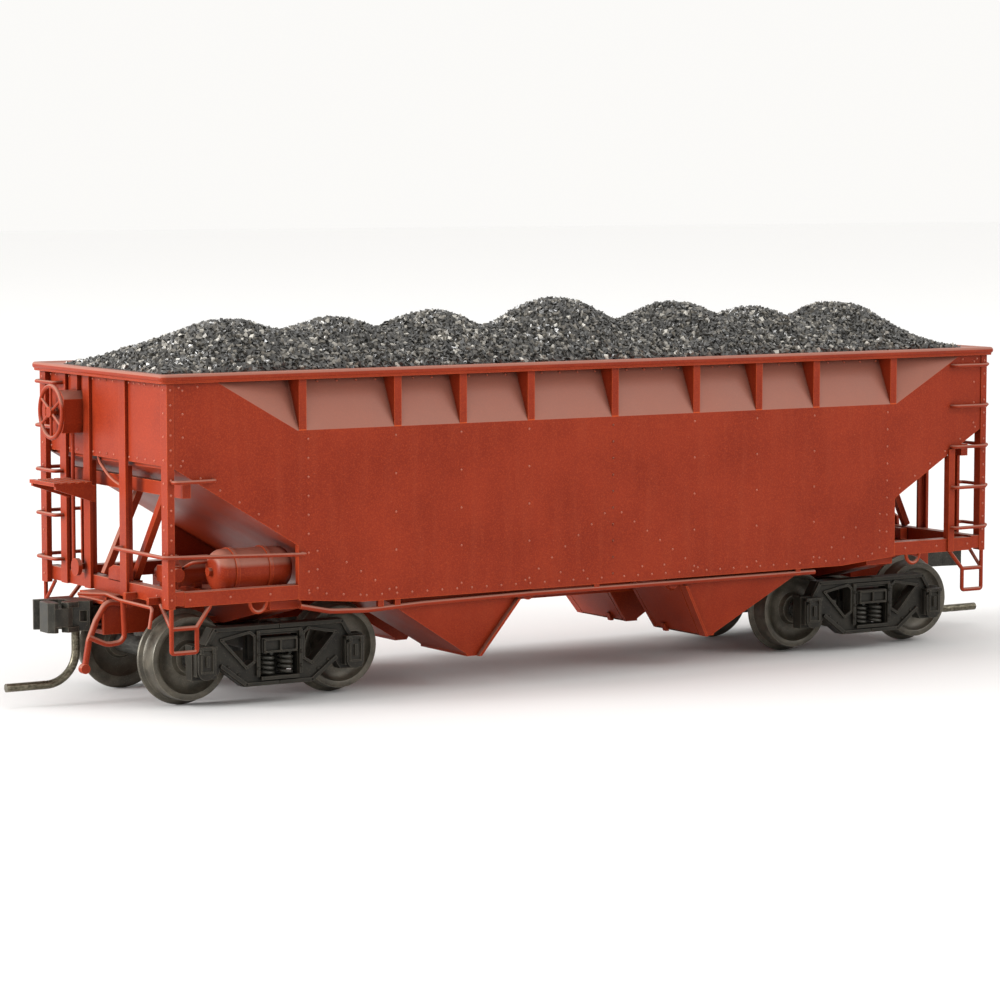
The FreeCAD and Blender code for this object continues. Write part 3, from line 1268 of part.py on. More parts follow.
def coal_heap():
    """The heaped top: a rounded ridge with seven humps."""
    end = at.end_inner - at.coal_gap
    half = at.lean_inner - at.coal_gap
    foot = at.coal_shoulder
    rise = at.coal_crest - foot
    slab = Part.makeBox(2 * end, 2 * half, rise + 2, Vector(-end, -half, foot))
    ridge_rise = rise * 0.56
    front = [(-end, -half, foot), (-end + 7, -half * 0.55, foot + ridge_rise * 0.7),
             (-end + 9, 0, foot + ridge_rise), (-end + 7, half * 0.55, foot + ridge_rise * 0.7), (-end, half, foot)]
    back = [(-x, y, z) for x, y, z in front]
    loop = [[Vector(*corner) for corner in side] for side in (front, back)]
    faces = []
    for index in range(5):
        after = (index + 1) % 5
        faces.append(Part.Face(Part.makePolygon([loop[0][index], loop[0][after], loop[1][after], loop[1][index],
                                                 loop[0][index]])))
    for side in loop:
        middle = side[2]
        for index in (0, 1, 2, 3):
            if 2 in (index, index + 1):
                continue
            faces.append(Part.Face(Part.makePolygon([side[index], side[index + 1], middle, side[index]])))
        faces.append(Part.Face(Part.makePolygon([side[0], middle, side[4], side[0]])))
    ridge = Part.makeSolid(Part.makeShell(faces))
    if ridge.Volume < 0:
        ridge.reverse()
    humps = []
    for share, height in ((-0.74, 0.75), (-0.49, 0.74), (-0.25, 0.83), (0.06, 1.0), (0.37, 0.87), (0.58, 0.74),
                          (0.82, 0.80)):
        hump = Part.makeSphere(1.0)
        matrix = FreeCAD.Matrix()
        matrix.scale(end * 0.135, half * 0.8, rise * height)
        hump = hump.transformGeometry(matrix)
        hump.translate(Vector(share * end, 0, foot))
        humps.append(hump)
    return ridge.fuse(humps).common(slab).removeSplitter()


node("coal_tray", coal_tray())
node("coal_heap", shaped(coal_heap()))


# ---------------------------------------------------------------- check and export
doc.recompute()
for piece in doc.Objects:
    if "Invalid" in piece.State or "Error" in piece.State:
        raise RuntimeError(f"{piece.Name} ({piece.Label}) failed: {piece.State}")
os.makedirs("parts", exist_ok=True)
for piece in nodes:
    shape = piece.Shape
    if shape.isNull() or not shape.isValid() or not shape.Solids:
        raise RuntimeError(f"{piece.Label} has no valid shape")
    solids = shape.Solids
    whole = solids[0] if len(solids) == 1 else Part.makeCompound(solids)
    whole.exportStep(f"parts/{piece.Label}.step")
print(len(nodes), "nodes")
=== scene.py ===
import json
import math

import bmesh
import bpy
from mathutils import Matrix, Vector, noise

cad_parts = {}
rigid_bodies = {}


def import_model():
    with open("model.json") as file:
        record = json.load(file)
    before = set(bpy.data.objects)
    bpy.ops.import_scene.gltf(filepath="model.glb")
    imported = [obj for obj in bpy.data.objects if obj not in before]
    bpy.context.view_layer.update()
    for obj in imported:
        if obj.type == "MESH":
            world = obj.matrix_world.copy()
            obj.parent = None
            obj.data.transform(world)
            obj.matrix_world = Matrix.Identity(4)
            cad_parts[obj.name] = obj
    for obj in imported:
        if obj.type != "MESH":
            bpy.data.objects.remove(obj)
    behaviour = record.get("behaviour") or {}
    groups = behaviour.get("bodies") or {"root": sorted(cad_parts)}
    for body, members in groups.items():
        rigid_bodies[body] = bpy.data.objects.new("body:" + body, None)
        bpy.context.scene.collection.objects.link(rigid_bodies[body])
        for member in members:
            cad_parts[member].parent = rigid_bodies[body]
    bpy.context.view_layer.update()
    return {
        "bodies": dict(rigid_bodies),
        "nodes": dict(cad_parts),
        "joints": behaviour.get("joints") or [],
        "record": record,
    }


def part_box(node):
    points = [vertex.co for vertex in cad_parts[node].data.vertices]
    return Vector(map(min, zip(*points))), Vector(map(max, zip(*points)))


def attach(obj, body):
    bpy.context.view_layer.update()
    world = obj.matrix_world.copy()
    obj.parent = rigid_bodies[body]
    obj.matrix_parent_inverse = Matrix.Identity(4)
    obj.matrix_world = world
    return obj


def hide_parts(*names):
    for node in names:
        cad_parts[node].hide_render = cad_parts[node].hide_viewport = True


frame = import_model()
nodes = frame["nodes"]
mm = 0.001


def boxOf(name):
    # a node's corners in millimetres
    low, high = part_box(name)
    return [number / mm for number in low], [number / mm for number in high]


# shader helpers
def startMaterial(name):
    material = bpy.data.materials.new(name)
    material.use_nodes = True
    tree = material.node_tree
    tree.nodes.clear()
    output = tree.nodes.new("ShaderNodeOutputMaterial")
    shader = tree.nodes.new("ShaderNodeBsdfPrincipled")
    tree.links.new(shader.outputs["BSDF"], output.inputs["Surface"])
    return material, tree, shader


def addNode(tree, kind, inputs=None, **settings):
    made = tree.nodes.new(kind)
    for key, value in settings.items():
        setattr(made, key, value)
    for key, value in (inputs or {}).items():
        if isinstance(value, bpy.types.NodeSocket):
            tree.links.new(value, made.inputs[key])
        else:
            made.inputs[key].default_value = value
    return made


def objectCoords(tree, stretch=(1, 1, 1)):
    coords = addNode(tree, "ShaderNodeTexCoord").outputs["Object"]
    return addNode(tree, "ShaderNodeMapping", {"Vector": coords, "Scale": stretch}).outputs["Vector"]


def noiseFac(tree, coords, size, detail=3.0, roughness=0.55):
    # size is the pattern's grain in millimetres
    made = addNode(tree, "ShaderNodeTexNoise", {
        "Vector": coords, "Scale": 1 / (size * mm), "Detail": detail, "Roughness": roughness})
    return made.outputs["Fac"]


def ranged(tree, value, fromLow, fromHigh, toLow=0.0, toHigh=1.0):
    made = addNode(tree, "ShaderNodeMapRange", {
        "Value": value, "From Min": fromLow, "From Max": fromHigh, "To Min": toLow, "To Max": toHigh})
    return made.outputs["Result"]


def mixed(tree, factor, first, second, blend="MIX"):
    made = tree.nodes.new("ShaderNodeMix")
    made.data_type = "RGBA"
    made.blend_type = blend
    for index, value in ((0, factor), (6, first), (7, second)):
        if isinstance(value, bpy.types.NodeSocket):
            tree.links.new(value, made.inputs[index])
        elif index == 0:
            made.inputs[index].default_value = value
        else:
            made.inputs[index].default_value = (*value, 1.0)
    return made.outputs[2]


def worked(tree, operation, first, second=0.5):
    made = tree.nodes.new("ShaderNodeMath")
    made.operation = operation
    for index, value in enumerate((first, second)):
        if isinstance(value, bpy.types.NodeSocket):
            tree.links.new(value, made.inputs[index])
        else:
            made.inputs[index].default_value = value
    return made.outputs[0]


def edgeFac(tree, radius, low, high):
    # how far a rounded edge's normal leans from the face's own
    rounded = addNode(tree, "ShaderNodeBevel", {"Radius": radius * mm}, samples=4).outputs["Normal"]
    flat = addNode(tree, "ShaderNodeNewGeometry").outputs["Normal"]
    product = addNode(tree, "ShaderNodeVectorMath", {0: rounded, 1: flat}, operation="DOT_PRODUCT")
    return ranged(tree, product.outputs["Value"], high, low)


def recessFac(tree, distance):
    # 1 in the open, lower in corners; it drives the painted shade in corners and recesses
    made = addNode(tree, "ShaderNodeAmbientOcclusion", {"Distance": distance * mm}, samples=4)
    return made.outputs["AO"]


def bumpFrom(tree, shader, height, distance, strength):
    made = addNode(tree, "ShaderNodeBump", {
        "Height": height, "Distance": distance * mm, "Strength": strength})
    tree.links.new(made.outputs["Normal"], shader.inputs["Normal"])


# finishes; a range says between which values one tone gives way to the next
paintLook = {
    "red": (0.262, 0.027, 0.0085), "deepRed": (0.215, 0.020, 0.006), "edgeRed": (0.66, 0.100, 0.022),
    "creviceShade": (0.055, 0.009, 0.005), "dust": (0.50, 0.16, 0.08), "streak": (0.28, 0.038, 0.014),
    # the first colour on the next line is a painted sheen for faces that lean upwards
    "paintedSheen": (0.38, 0.20, 0.15), "mottleSize": 7.0, "grainSize": 0.14, "speckSize": 0.22, "streakSize": 1.6,
    "streakStretch": (1, 1, 0.12), "edgeRadius": 0.12, "recess": 1.0,
    "mottleRange": (0.35, 0.65), "streakRange": (0.50, 0.75), "grainRange": (0.45, 0.80),
    "speckRange": (0.72, 0.80), "paintedSheenRange": (0.18, 0.36), "edgeRange": (0.80, 0.995),
    "recessRange": (0.25, 0.80), "streakShare": 0.45, "grainShare": 0.25, "dustShare": 0.22,
    "paintedSheenShare": 0.60, "edgeShare": 0.85, "recessShare": 0.8, "roughness": (0.34, 0.44), "gloss": 0.13,
    "bump": 0.22, "bumpDepth": 0.02}
# the body paint made lighter and glossier on the rivet heads, without the corner shade: a painted highlight
# on them
litRivetLook = dict(
    paintLook, red=(0.46, 0.105, 0.055), deepRed=(0.36, 0.070, 0.034), recessShare=0.0, gloss=0.45)
castingRanges = {
    "mottle": (0.35, 0.68), "grain": (0.60, 0.78), "edge": (0.80, 0.995), "recess": (0.2, 0.85),
    "recessShare": 0.7, "bumpStrength": 0.5}
wireRanges = {
    "lines": (0.35, 0.65), "patches": (0.45, 0.72), "stainShare": 0.65, "bumpDepth": 0.012,
    "bumpStrength": 0.4}
noiseSpread = (0.3, 0.7)  # where most of a noise's values lie


def oxidePaint(name, look):
    # thin airbrushed paint: mottled, a little streaked downwards, bright along the edges, partly from wear
    # and partly as a painted highlight
    material, tree, shader = startMaterial(name)
    coords = objectCoords(tree)
    mottle = noiseFac(tree, coords, look["mottleSize"], 4.0)
    streaks = noiseFac(tree, objectCoords(tree, look["streakStretch"]), look["streakSize"], 3.0)
    grain = noiseFac(tree, coords, look["grainSize"], 2.0)
    speck = noiseFac(tree, coords, look["speckSize"], 1.0)
    colour = mixed(tree, ranged(tree, mottle, *look["mottleRange"]), look["deepRed"], look["red"])
    streaked = ranged(tree, streaks, *look["streakRange"], 0.0, look["streakShare"])
    colour = mixed(tree, streaked, colour, look["streak"])
    grained = ranged(tree, grain, *look["grainRange"], 0.0, look["grainShare"])
    colour = mixed(tree, grained, colour, look["edgeRed"])
    specked = ranged(tree, speck, *look["speckRange"], 0.0, look["dustShare"])
    colour = mixed(tree, specked, colour, look["dust"])
    # painted sheen: what leans upwards is made paler and pinker, standing in for the sheen it catches from
    # the light above
    facing = addNode(tree, "ShaderNodeSeparateXYZ", {
        "Vector": addNode(tree, "ShaderNodeTexCoord").outputs["Normal"]}).outputs["Z"]
    paintedSheenMask = ranged(tree, facing, *look["paintedSheenRange"], 0.0, look["paintedSheenShare"])
    colour = mixed(tree, paintedSheenMask, colour, look["paintedSheen"])
    # edges made brighter: part wear, part painted highlight
    edge = edgeFac(tree, look["edgeRadius"], *look["edgeRange"])
    colour = mixed(tree, worked(tree, "MULTIPLY", edge, look["edgeShare"]), colour, look["edgeRed"])
    # painted shade: the paint is darkened in corners and recesses
    openness = recessFac(tree, look["recess"])
    shaded = ranged(tree, openness, *look["recessRange"], look["recessShare"], 0.0)
    colour = mixed(tree, shaded, colour, look["creviceShade"])
    tree.links.new(colour, shader.inputs["Base Color"])
    tree.links.new(ranged(tree, mottle, *noiseSpread, *look["roughness"]), shader.inputs["Roughness"])
    shader.inputs["Specular IOR Level"].default_value = look["gloss"]
    bumpFrom(tree, shader, grain, look["bumpDepth"], look["bump"])
    return material


def darkCasting(name, look):
    # blackened or moulded dark pieces, with pale dust in specks and pale edges, the edges partly dust and
    # partly painted highlight
    material, tree, shader = startMaterial(name)
    ranges = castingRanges
    coords = objectCoords(tree)
    mottle = noiseFac(tree, coords, look["mottleSize"], 4.0)
    grain = noiseFac(tree, coords, look["grainSize"], 3.0)
    colour = mixed(tree, ranged(tree, mottle, *ranges["mottle"]), look["dark"], look["light"])
    dusted = ranged(tree, grain, *ranges["grain"], 0.0, look["dustShare"])
    colour = mixed(tree, dusted, colour, look["dust"])
    # edges made paler with the dust colour: part dust, part painted highlight, such as the wheels' bright
    # rim line
    edge = edgeFac(tree, look["edgeRadius"], *ranges["edge"])
    colour = mixed(tree, worked(tree, "MULTIPLY", edge, look["edgeShare"]), colour, look["dust"])
    # painted shade: the casting is darkened in corners and recesses
    openness = recessFac(tree, look["recess"])
    shaded = ranged(tree, openness, *ranges["recess"], ranges["recessShare"], 0.0)
    colour = mixed(tree, shaded, colour, look["creviceShade"])
    tree.links.new(colour, shader.inputs["Base Color"])
    tree.links.new(ranged(tree, mottle, *noiseSpread, *look["roughness"]), shader.inputs["Roughness"])
    shader.inputs["Metallic"].default_value = look["metallic"]
    shader.inputs["Specular IOR Level"].default_value = look["gloss"]
    bumpFrom(tree, shader, grain, look["bump"], ranges["bumpStrength"])
    return material


def drawnWire(name, look):
    # bare or blackened steel with fine lines along it
    material, tree, shader = startMaterial(name)
    ranges = wireRanges
    coords = objectCoords(tree, look["stretch"])
    lines = noiseFac(tree, coords, look["lineSize"], 4.0)
    patches = noiseFac(tree, objectCoords(tree), look["patchSize"], 3.0)
    colour = mixed(tree, ranged(tree, lines, *ranges["lines"]), look["dark"], look["light"])
    stained = ranged(tree, patches, *ranges["patches"], 0.0, ranges["stainShare"])
    colour = mixed(tree, stained, colour, look["stain"])
    tree.links.new(colour, shader.inputs["Base Color"])
    tree.links.new(ranged(tree, patches, *noiseSpread, *look["roughness"]), shader.inputs["Roughness"])
    shader.inputs["Metallic"].default_value = look["metallic"]
    bumpFrom(tree, shader, lines, ranges["bumpDepth"], ranges["bumpStrength"])
    return material


bodyPaint = oxidePaint("oxideRedPaint", paintLook)
litRivetPaint = oxidePaint("litRivetHeads", litRivetLook)
truckPlastic = darkCasting("truckGrey", {
    "dark": (0.014, 0.0125, 0.010), "light": (0.030, 0.027, 0.021), "dust": (0.17, 0.145, 0.11),
    "creviceShade": (0.004, 0.004, 0.0035), "mottleSize": 2.6, "grainSize": 0.13, "dustShare": 0.45,
    "edgeRadius": 0.16, "edgeShare": 0.45, "recess": 0.8, "roughness": (0.42, 0.62), "metallic": 0.0,
    "gloss": 0.18, "bump": 0.03})
wheelMetal = darkCasting("blackenedWheel", {
    "dark": (0.045, 0.039, 0.029), "light": (0.110, 0.096, 0.071), "dust": (0.42, 0.39, 0.31),
    "creviceShade": (0.008, 0.007, 0.006), "mottleSize": 1.8, "grainSize": 0.10, "dustShare": 0.40,
    "edgeRadius": 0.14, "edgeShare": 0.55, "recess": 0.7, "roughness": (0.30, 0.48), "metallic": 0.35,
    "gloss": 0.45, "bump": 0.02})
couplerBlack = darkCasting("couplerBlack", {
    "dark": (0.016, 0.015, 0.012), "light": (0.045, 0.041, 0.032), "dust": (0.30, 0.26, 0.19),
    "creviceShade": (0.004, 0.004, 0.003), "mottleSize": 1.2, "grainSize": 0.10, "dustShare": 0.55,
    "edgeRadius": 0.12, "edgeShare": 0.6, "recess": 0.6, "roughness": (0.28, 0.46), "metallic": 0.4,
    "gloss": 0.40, "bump": 0.03})
axleSteel = drawnWire("axleSteel", {
    "dark": (0.07, 0.07, 0.065), "light": (0.16, 0.155, 0.14), "stain": (0.05, 0.045, 0.035),
    "stretch": (1, 0.15, 1), "lineSize": 0.2, "patchSize": 1.2, "roughness": (0.28, 0.42), "metallic": 0.7})
springSteel = drawnWire("springSteel", {
    "dark": (0.016, 0.015, 0.012), "light": (0.050, 0.046, 0.036), "stain": (0.03, 0.026, 0.019),
    "stretch": (1, 1, 0.4), "lineSize": 0.12, "patchSize": 0.5, "roughness": (0.35, 0.5), "metallic": 0.3})
tripSteel = drawnWire("tripSteel", {
    "dark": (0.060, 0.052, 0.034), "light": (0.20, 0.18, 0.13), "stain": (0.045, 0.036, 0.020),
    "stretch": (0.3, 1, 0.6), "lineSize": 0.15, "patchSize": 1.4, "roughness": (0.26, 0.42),
    "metallic": 0.75})
screwSteel = drawnWire("screwSteel", {
    "dark": (0.06, 0.06, 0.055), "light": (0.15, 0.145, 0.13), "stain": (0.05, 0.05, 0.045),
    "stretch": (1, 1, 0.5), "lineSize": 0.2, "patchSize": 0.9, "roughness": (0.3, 0.45), "metallic": 0.6})

coalLook = {
    "dark": (0.007, 0.007, 0.0063), "light": (0.060, 0.056, 0.048), "pale": (0.250, 0.228, 0.190),
    "paintedGlint": (0.50, 0.475, 0.42), "broadSize": 0.9, "fineSize": 0.16, "broadRange": (0.35, 0.7),
    "paleRange": (0.60, 0.95), "paleShare": 0.8, "paintedGlintRange": (0.935, 0.985), "roughness": (0.18, 0.40),
    "gloss": 0.9, "grainBump": 0.05, "bedBump": 0.25, "bumpStrength": 0.5}


def coalFinish(name, look, perGrain):
    # near black; where perGrain is set, some of the grains are paler, and a few get a painted glint in
    # their colour
    material, tree, shader = startMaterial(name)
    coords = objectCoords(tree)
    broad = noiseFac(tree, coords, look["broadSize"], 3.0)
    fine = noiseFac(tree, coords, look["fineSize"], 3.0)
    colour = mixed(tree, ranged(tree, broad, *look["broadRange"]), look["dark"], look["light"])
    if perGrain:
        tint = addNode(tree, "ShaderNodeAttribute", attribute_name="grainTint").outputs["Fac"]
        paled = ranged(tree, tint, *look["paleRange"], 0.0, look["paleShare"])
        colour = mixed(tree, paled, colour, look["pale"])
        # painted highlight: a few grains are made near white, standing in for glints
        colour = mixed(tree, ranged(tree, tint, *look["paintedGlintRange"]), colour, look["paintedGlint"])
    tree.links.new(colour, shader.inputs["Base Color"])
    tree.links.new(ranged(tree, fine, *noiseSpread, *look["roughness"]), shader.inputs["Roughness"])
    shader.inputs["Specular IOR Level"].default_value = look["gloss"]
    depth = look["grainBump"] if perGrain else look["bedBump"]
    bumpFrom(tree, shader, fine, depth, look["bumpStrength"])
    return material


coalBed = coalFinish("coalBed", coalLook, False)
coalGrain = coalFinish("coalGrain", coalLook, True)

finishes = {
    "body_red": bodyPaint, "truck_grey": truckPlastic, "spring_steel": springSteel,
    "wheel_metal": wheelMetal, "axle_steel": axleSteel, "coupler_black": couplerBlack,
    "trip_steel": tripSteel, "screw_steel": screwSteel, "coal": coalBed}
slotOf = {}
for name, piece in nodes.items():
    for slot in piece.material_slots:
        slotOf[name] = slot.material.name.split(".")[0]
        slot.material = finishes[slotOf[name]]
print("finishes made,", len(slotOf), "frame pieces painted")


# mesh helpers
def pieceFrom(name, mesh, body, slot, material=None):
    piece = bpy.data.objects.new(name, mesh)
    bpy.context.scene.collection.objects.link(piece)
    if material is not None or not mesh.materials:
        mesh.materials.clear()
        mesh.materials.append(material or finishes[slot])
    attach(piece, body)
    return piece


def evaluatedMesh(piece, name):
    # a plain mesh of what the piece's modifiers make, and the piece itself goes
    depsgraph = bpy.context.evaluated_depsgraph_get()
    mesh = bpy.data.meshes.new_from_object(piece.evaluated_get(depsgraph))
    mesh.name = name
    piece.modifiers.clear()
    bpy.data.objects.remove(piece)
    return mesh


def shadeByAngle(mesh, degrees=35):
    mesh.polygons.foreach_set("use_smooth", [True] * len(mesh.polygons))
    mesh.set_sharp_from_angle(angle=math.radians(degrees))


# geometry node helpers
def startTree(name, inputs):
    tree = bpy.data.node_groups.new(name, "GeometryNodeTree")
    tree.interface.new_socket("Geometry", in_out="INPUT", socket_type="NodeSocketGeometry")
    for label, kind in inputs:
        tree.interface.new_socket(label, in_out="INPUT", socket_type="NodeSocket" + kind)
    tree.interface.new_socket("Geometry", in_out="OUTPUT", socket_type="NodeSocketGeometry")
    return tree, tree.nodes.new("NodeGroupInput"), tree.nodes.new("NodeGroupOutput")


def withTree(piece, tree, values):
    modifier = piece.modifiers.new(tree.name, "NODES")
    modifier.node_group = tree
    for item in tree.interface.items_tree:
        if item.item_type == "SOCKET" and item.in_out == "INPUT" and item.name in values:
            modifier[item.identifier] = values[item.name]
    return piece


# rivets
rivetSizes = {
    "radius": 0.15, "rise": 0.10, "segments": 8, "rings": 4, "seamPitch": 1.9, "ribPitch": 3.8,
    "edgePitch": 1.6, "slopePitch": 2.4, "rimPitch": 1.25, "outsidePitch": 2.4, "sillPitch": 3.7}


def rivetTree():
    # runs of edges, each point with its outward direction and its pitch
    tree, given, out = startTree("rivetRuns", [
        ("Radius", "Float"), ("Rise", "Float"), ("Finish", "Material")])
    curve = addNode(tree, "GeometryNodeMeshToCurve", {"Mesh": given.outputs["Geometry"]})
    pitch = addNode(tree, "GeometryNodeInputNamedAttribute", {"Name": "pitch"}, data_type="FLOAT")
    spaced = addNode(tree, "GeometryNodeResampleCurve", {
        "Curve": curve.outputs[0], "Length": pitch.outputs["Attribute"]}, mode="LENGTH")
    outward = addNode(tree, "GeometryNodeInputNamedAttribute", {
        "Name": "outward"}, data_type="FLOAT_VECTOR")
    turn = addNode(tree, "FunctionNodeAlignRotationToVector", {
        "Vector": outward.outputs["Attribute"]}, axis="Z")
    head = addNode(tree, "GeometryNodeMeshUVSphere", {
        "Segments": rivetSizes["segments"], "Rings": rivetSizes["rings"], "Radius": 1.0})
    shape = addNode(tree, "ShaderNodeCombineXYZ", {
        "X": given.outputs["Radius"], "Y": given.outputs["Radius"], "Z": given.outputs["Rise"]})
    heads = addNode(tree, "GeometryNodeInstanceOnPoints", {
        "Points": spaced.outputs["Curve"], "Instance": head.outputs["Mesh"],
        "Rotation": turn.outputs["Rotation"], "Scale": shape.outputs["Vector"]})
    real = addNode(tree, "GeometryNodeRealizeInstances", {"Geometry": heads.outputs["Instances"]})
    smooth = addNode(tree, "GeometryNodeSetShadeSmooth", {"Geometry": real.outputs["Geometry"]})
    painted = addNode(tree, "GeometryNodeSetMaterial", {
        "Geometry": smooth.outputs["Geometry"], "Material": given.outputs["Finish"]})
    tree.links.new(painted.outputs["Geometry"], out.inputs["Geometry"])
    return tree


rivetRuns = rivetTree()


def rivetPiece(name, runs, body, slot="body_red", finish=None, radius=None, rise=None):
    # runs hold (start, end, outward, pitch) in millimetres
    mesh = bpy.data.meshes.new(name + "Runs")
    points, edges, outwards, pitches = [], [], [], []
    for start, end, outward, pitch in runs:
        edges.append((len(points), len(points) + 1))
        points += [[number * mm for number in start], [number * mm for number in end]]
        outwards += [outward, outward]
        pitches += [pitch * mm] * 2
    mesh.from_pydata(points, edges, [])
    mesh.attributes.new("outward", "FLOAT_VECTOR", "POINT").data.foreach_set(
        "vector", [number for outward in outwards for number in outward])
    mesh.attributes.new("pitch", "FLOAT", "POINT").data.foreach_set("value", pitches)
    holder = bpy.data.objects.new(name + "Holder", mesh)
    bpy.context.scene.collection.objects.link(holder)
    withTree(holder, rivetRuns, {
        "Radius": (radius or rivetSizes["radius"]) * mm, "Rise": (rise or rivetSizes["rise"]) * mm,
        "Finish": finish or finishes[slot]})
    return pieceFrom(name, evaluatedMesh(holder, name), body, slot)


def fourWays(runs, shift=0.0):
    # a run on the A end's left corner, and its images at the others; the side's own lie about its middle
    made = []
    for start, end, outward, pitch in runs:
        for signX in (1, -1):
            for signY in (1, -1):
                ends = [(x * signX + shift, y * signY, z) for x, y, z in (start, end)]
                made.append((*ends, (outward[0] * signX, outward[1] * signY, outward[2]), pitch))
    return made


sideHigh = boxOf("side_panel_left")[1]
rimLow, rimHigh = boxOf("top_chord")
frameHigh = boxOf("end_frames")[1]
sheetLow, sheetHigh = boxOf("end_panels")
# places at the A end's left corner; lapRow and innerRows go from (x, z) to (x, z), the other rows along x
sidePlaces = {
    "face": sideHigh[1], "rimFoot": rimLow[2], "endFace": sheetHigh[0], "corner": frameHigh[0],
    "cornerSide": frameHigh[1], "shift": 0.95, "slopeRise": 0.6005, "slopeAtPost": sheetLow[2] + 0.42,
    "ribs": (11.75, 21.0, 29.7), "ribFoot": 12.6, "middleFoot": 12.4, "seam": 41.05, "seamFoot": 13.0,
    "leanFoot": 31.0, "underLean": 1.0,
    "lapRow": ((39.95, 17.4), (39.95, 13.2)),
    # the slope sheet's line inside the panel, the ridge's, and the foot rows
    "innerRows": [
        ((36.2, 15.9), (30.6, 12.5)), ((1.2, 19.6), (12.3, 12.4)), ((1.6, 12.0), (33.6, 12.0)),
        ((34.4, 12.1), (41.0, 12.7)), ((4.2, 13.0), (7.4, 13.0))],
    "slopeRow": (44.0, 56.0), "overSlope": 0.75, "postRowIn": 2.0, "postRowFoot": 28.2, "postRowDown": 0.8,
    "cornerRow": (53.9, 56.2), "cornerRowDown": 0.45,
    "leanRow": (1.0, 41.0), "leanSide": 13.76, "leanRowDown": 0.42, "leanOut": (0, 5.7, 2.6)}
# places on the corner post, the end sheet and the sills
endPlaces = {
    "postFoot": 13.0, "postHead": 36.0, "postIn": 0.45, "postAcross": 0.8,
    "bays": ((11.9, 14.6), (5.7, 9.7), (0.0, 3.5)), "headRow": 36.3, "footRow": 28.0, "outerRow": 14.5,
    "outerHeights": (28.6, 35.2), "sillRow": (12.2, 15.2), "sillHeight": 13.1, "sideSill": (55.0, 45.0),
    "sideSillFace": 16.15, "sideSillHeight": 12.9}


def slopeLine(x):
    # height of the rivets over the sloping foot of the side, at a place along it
    place = sidePlaces
    return place["slopeAtPost"] - place["slopeRise"] * (place["corner"] - x) + place["overSlope"]


def sideRivets():
    place = sidePlaces
    y = place["face"]
    side = (0, 1, 0)
    full, half = rivetSizes["seamPitch"], rivetSizes["ribPitch"]
    slopePitch = rivetSizes["slopePitch"]
    top = place["leanFoot"] - place["underLean"]
    seam = place["seam"]
    panel = [((x, y, top), (x, y, place["ribFoot"]), side, half) for x in place["ribs"]]
    panel += [((0, y, top), (0, y, place["middleFoot"]), side, full),
              ((seam, y, top), (seam, y, place["seamFoot"]), side, full)]
    for start, end in [place["lapRow"]] + place["innerRows"]:
        panel.append(((start[0], y, start[1]), (end[0], y, end[1]), side, full))
    rows = fourWays(panel, place["shift"])
    # along the sloping foot, up beside the corner posts and under the chord at the corners
    first, last = place["slopeRow"]
    post = place["corner"] - place["postRowIn"]
    high = place["rimFoot"] - place["cornerRowDown"]
    near, far = place["cornerRow"]
    rows += fourWays([
        ((first, y, slopeLine(first)), (last, y, slopeLine(last)), side, slopePitch),
        ((post, y, place["postRowFoot"]), (post, y, place["rimFoot"] - place["postRowDown"]), side,
         slopePitch),
        ((near, y, high), (far, y, high), side, rivetSizes["edgePitch"])])
    # under the chord, on the leaning sheet
    lean = Vector(place["leanOut"]).normalized()
    across, high = place["leanSide"], place["rimFoot"] - place["leanRowDown"]
    near, far = place["leanRow"]
    rows += fourWays([((near, across, high), (far, across, high), lean, slopePitch)], place["shift"])
    return rows


def endRivets():
    out, side = (1, 0, 0), (0, 1, 0)
    place = endPlaces
    pitch = rivetSizes["edgePitch"]
    endX = sidePlaces["endFace"]
    cornerX, cornerY = sidePlaces["corner"], sidePlaces["cornerSide"]
    foot, head = place["postFoot"], place["postHead"]
    sideX, outY = cornerX - place["postIn"], cornerY - place["postAcross"]
    rows = [((sideX, cornerY, foot), (sideX, cornerY, head), side, pitch),
            ((cornerX, outY, foot), (cornerX, outY, head), out, rivetSizes["outsidePitch"])]
    # end sheet under the chord and along its foot, between the posts
    for low, high in place["bays"]:
        for z, spacing in ((place["headRow"], rivetSizes["rimPitch"]), (place["footRow"], pitch)):
            rows.append(((endX, low, z), (endX, high, z), out, spacing))
    outer = place["outerRow"]
    low, high = place["outerHeights"]
    rows.append(((endX, outer, low), (endX, outer, high), out, rivetSizes["slopePitch"]))
    # end sill and side sill
    low, high = place["sillRow"]
    rows.append(((endX, low, place["sillHeight"]), (endX, high, place["sillHeight"]), out, pitch))
    near, far = place["sideSill"]
    y, z = place["sideSillFace"], place["sideSillHeight"]
    rows.append(((near, y, z), (far, y, z), side, rivetSizes["sillPitch"]))
    return fourWays(rows)


rivetPiece("bodyRivets", sideRivets() + endRivets(), "carbody", finish=litRivetPaint)
print("rivets set")


# mesh making
weldDistance = 0.002


def meshFrom(name, points, faces, degrees=35):
    mesh = bpy.data.meshes.new(name)
    mesh.from_pydata([[number * mm for number in point] for point in points], [], faces)
    work = bmesh.new()
    work.from_mesh(mesh)
    bmesh.ops.remove_doubles(work, verts=work.verts, dist=weldDistance * mm)
    bmesh.ops.recalc_face_normals(work, faces=work.faces)
    work.to_mesh(mesh)
    work.free()
    shadeByAngle(mesh, degrees)
    return mesh


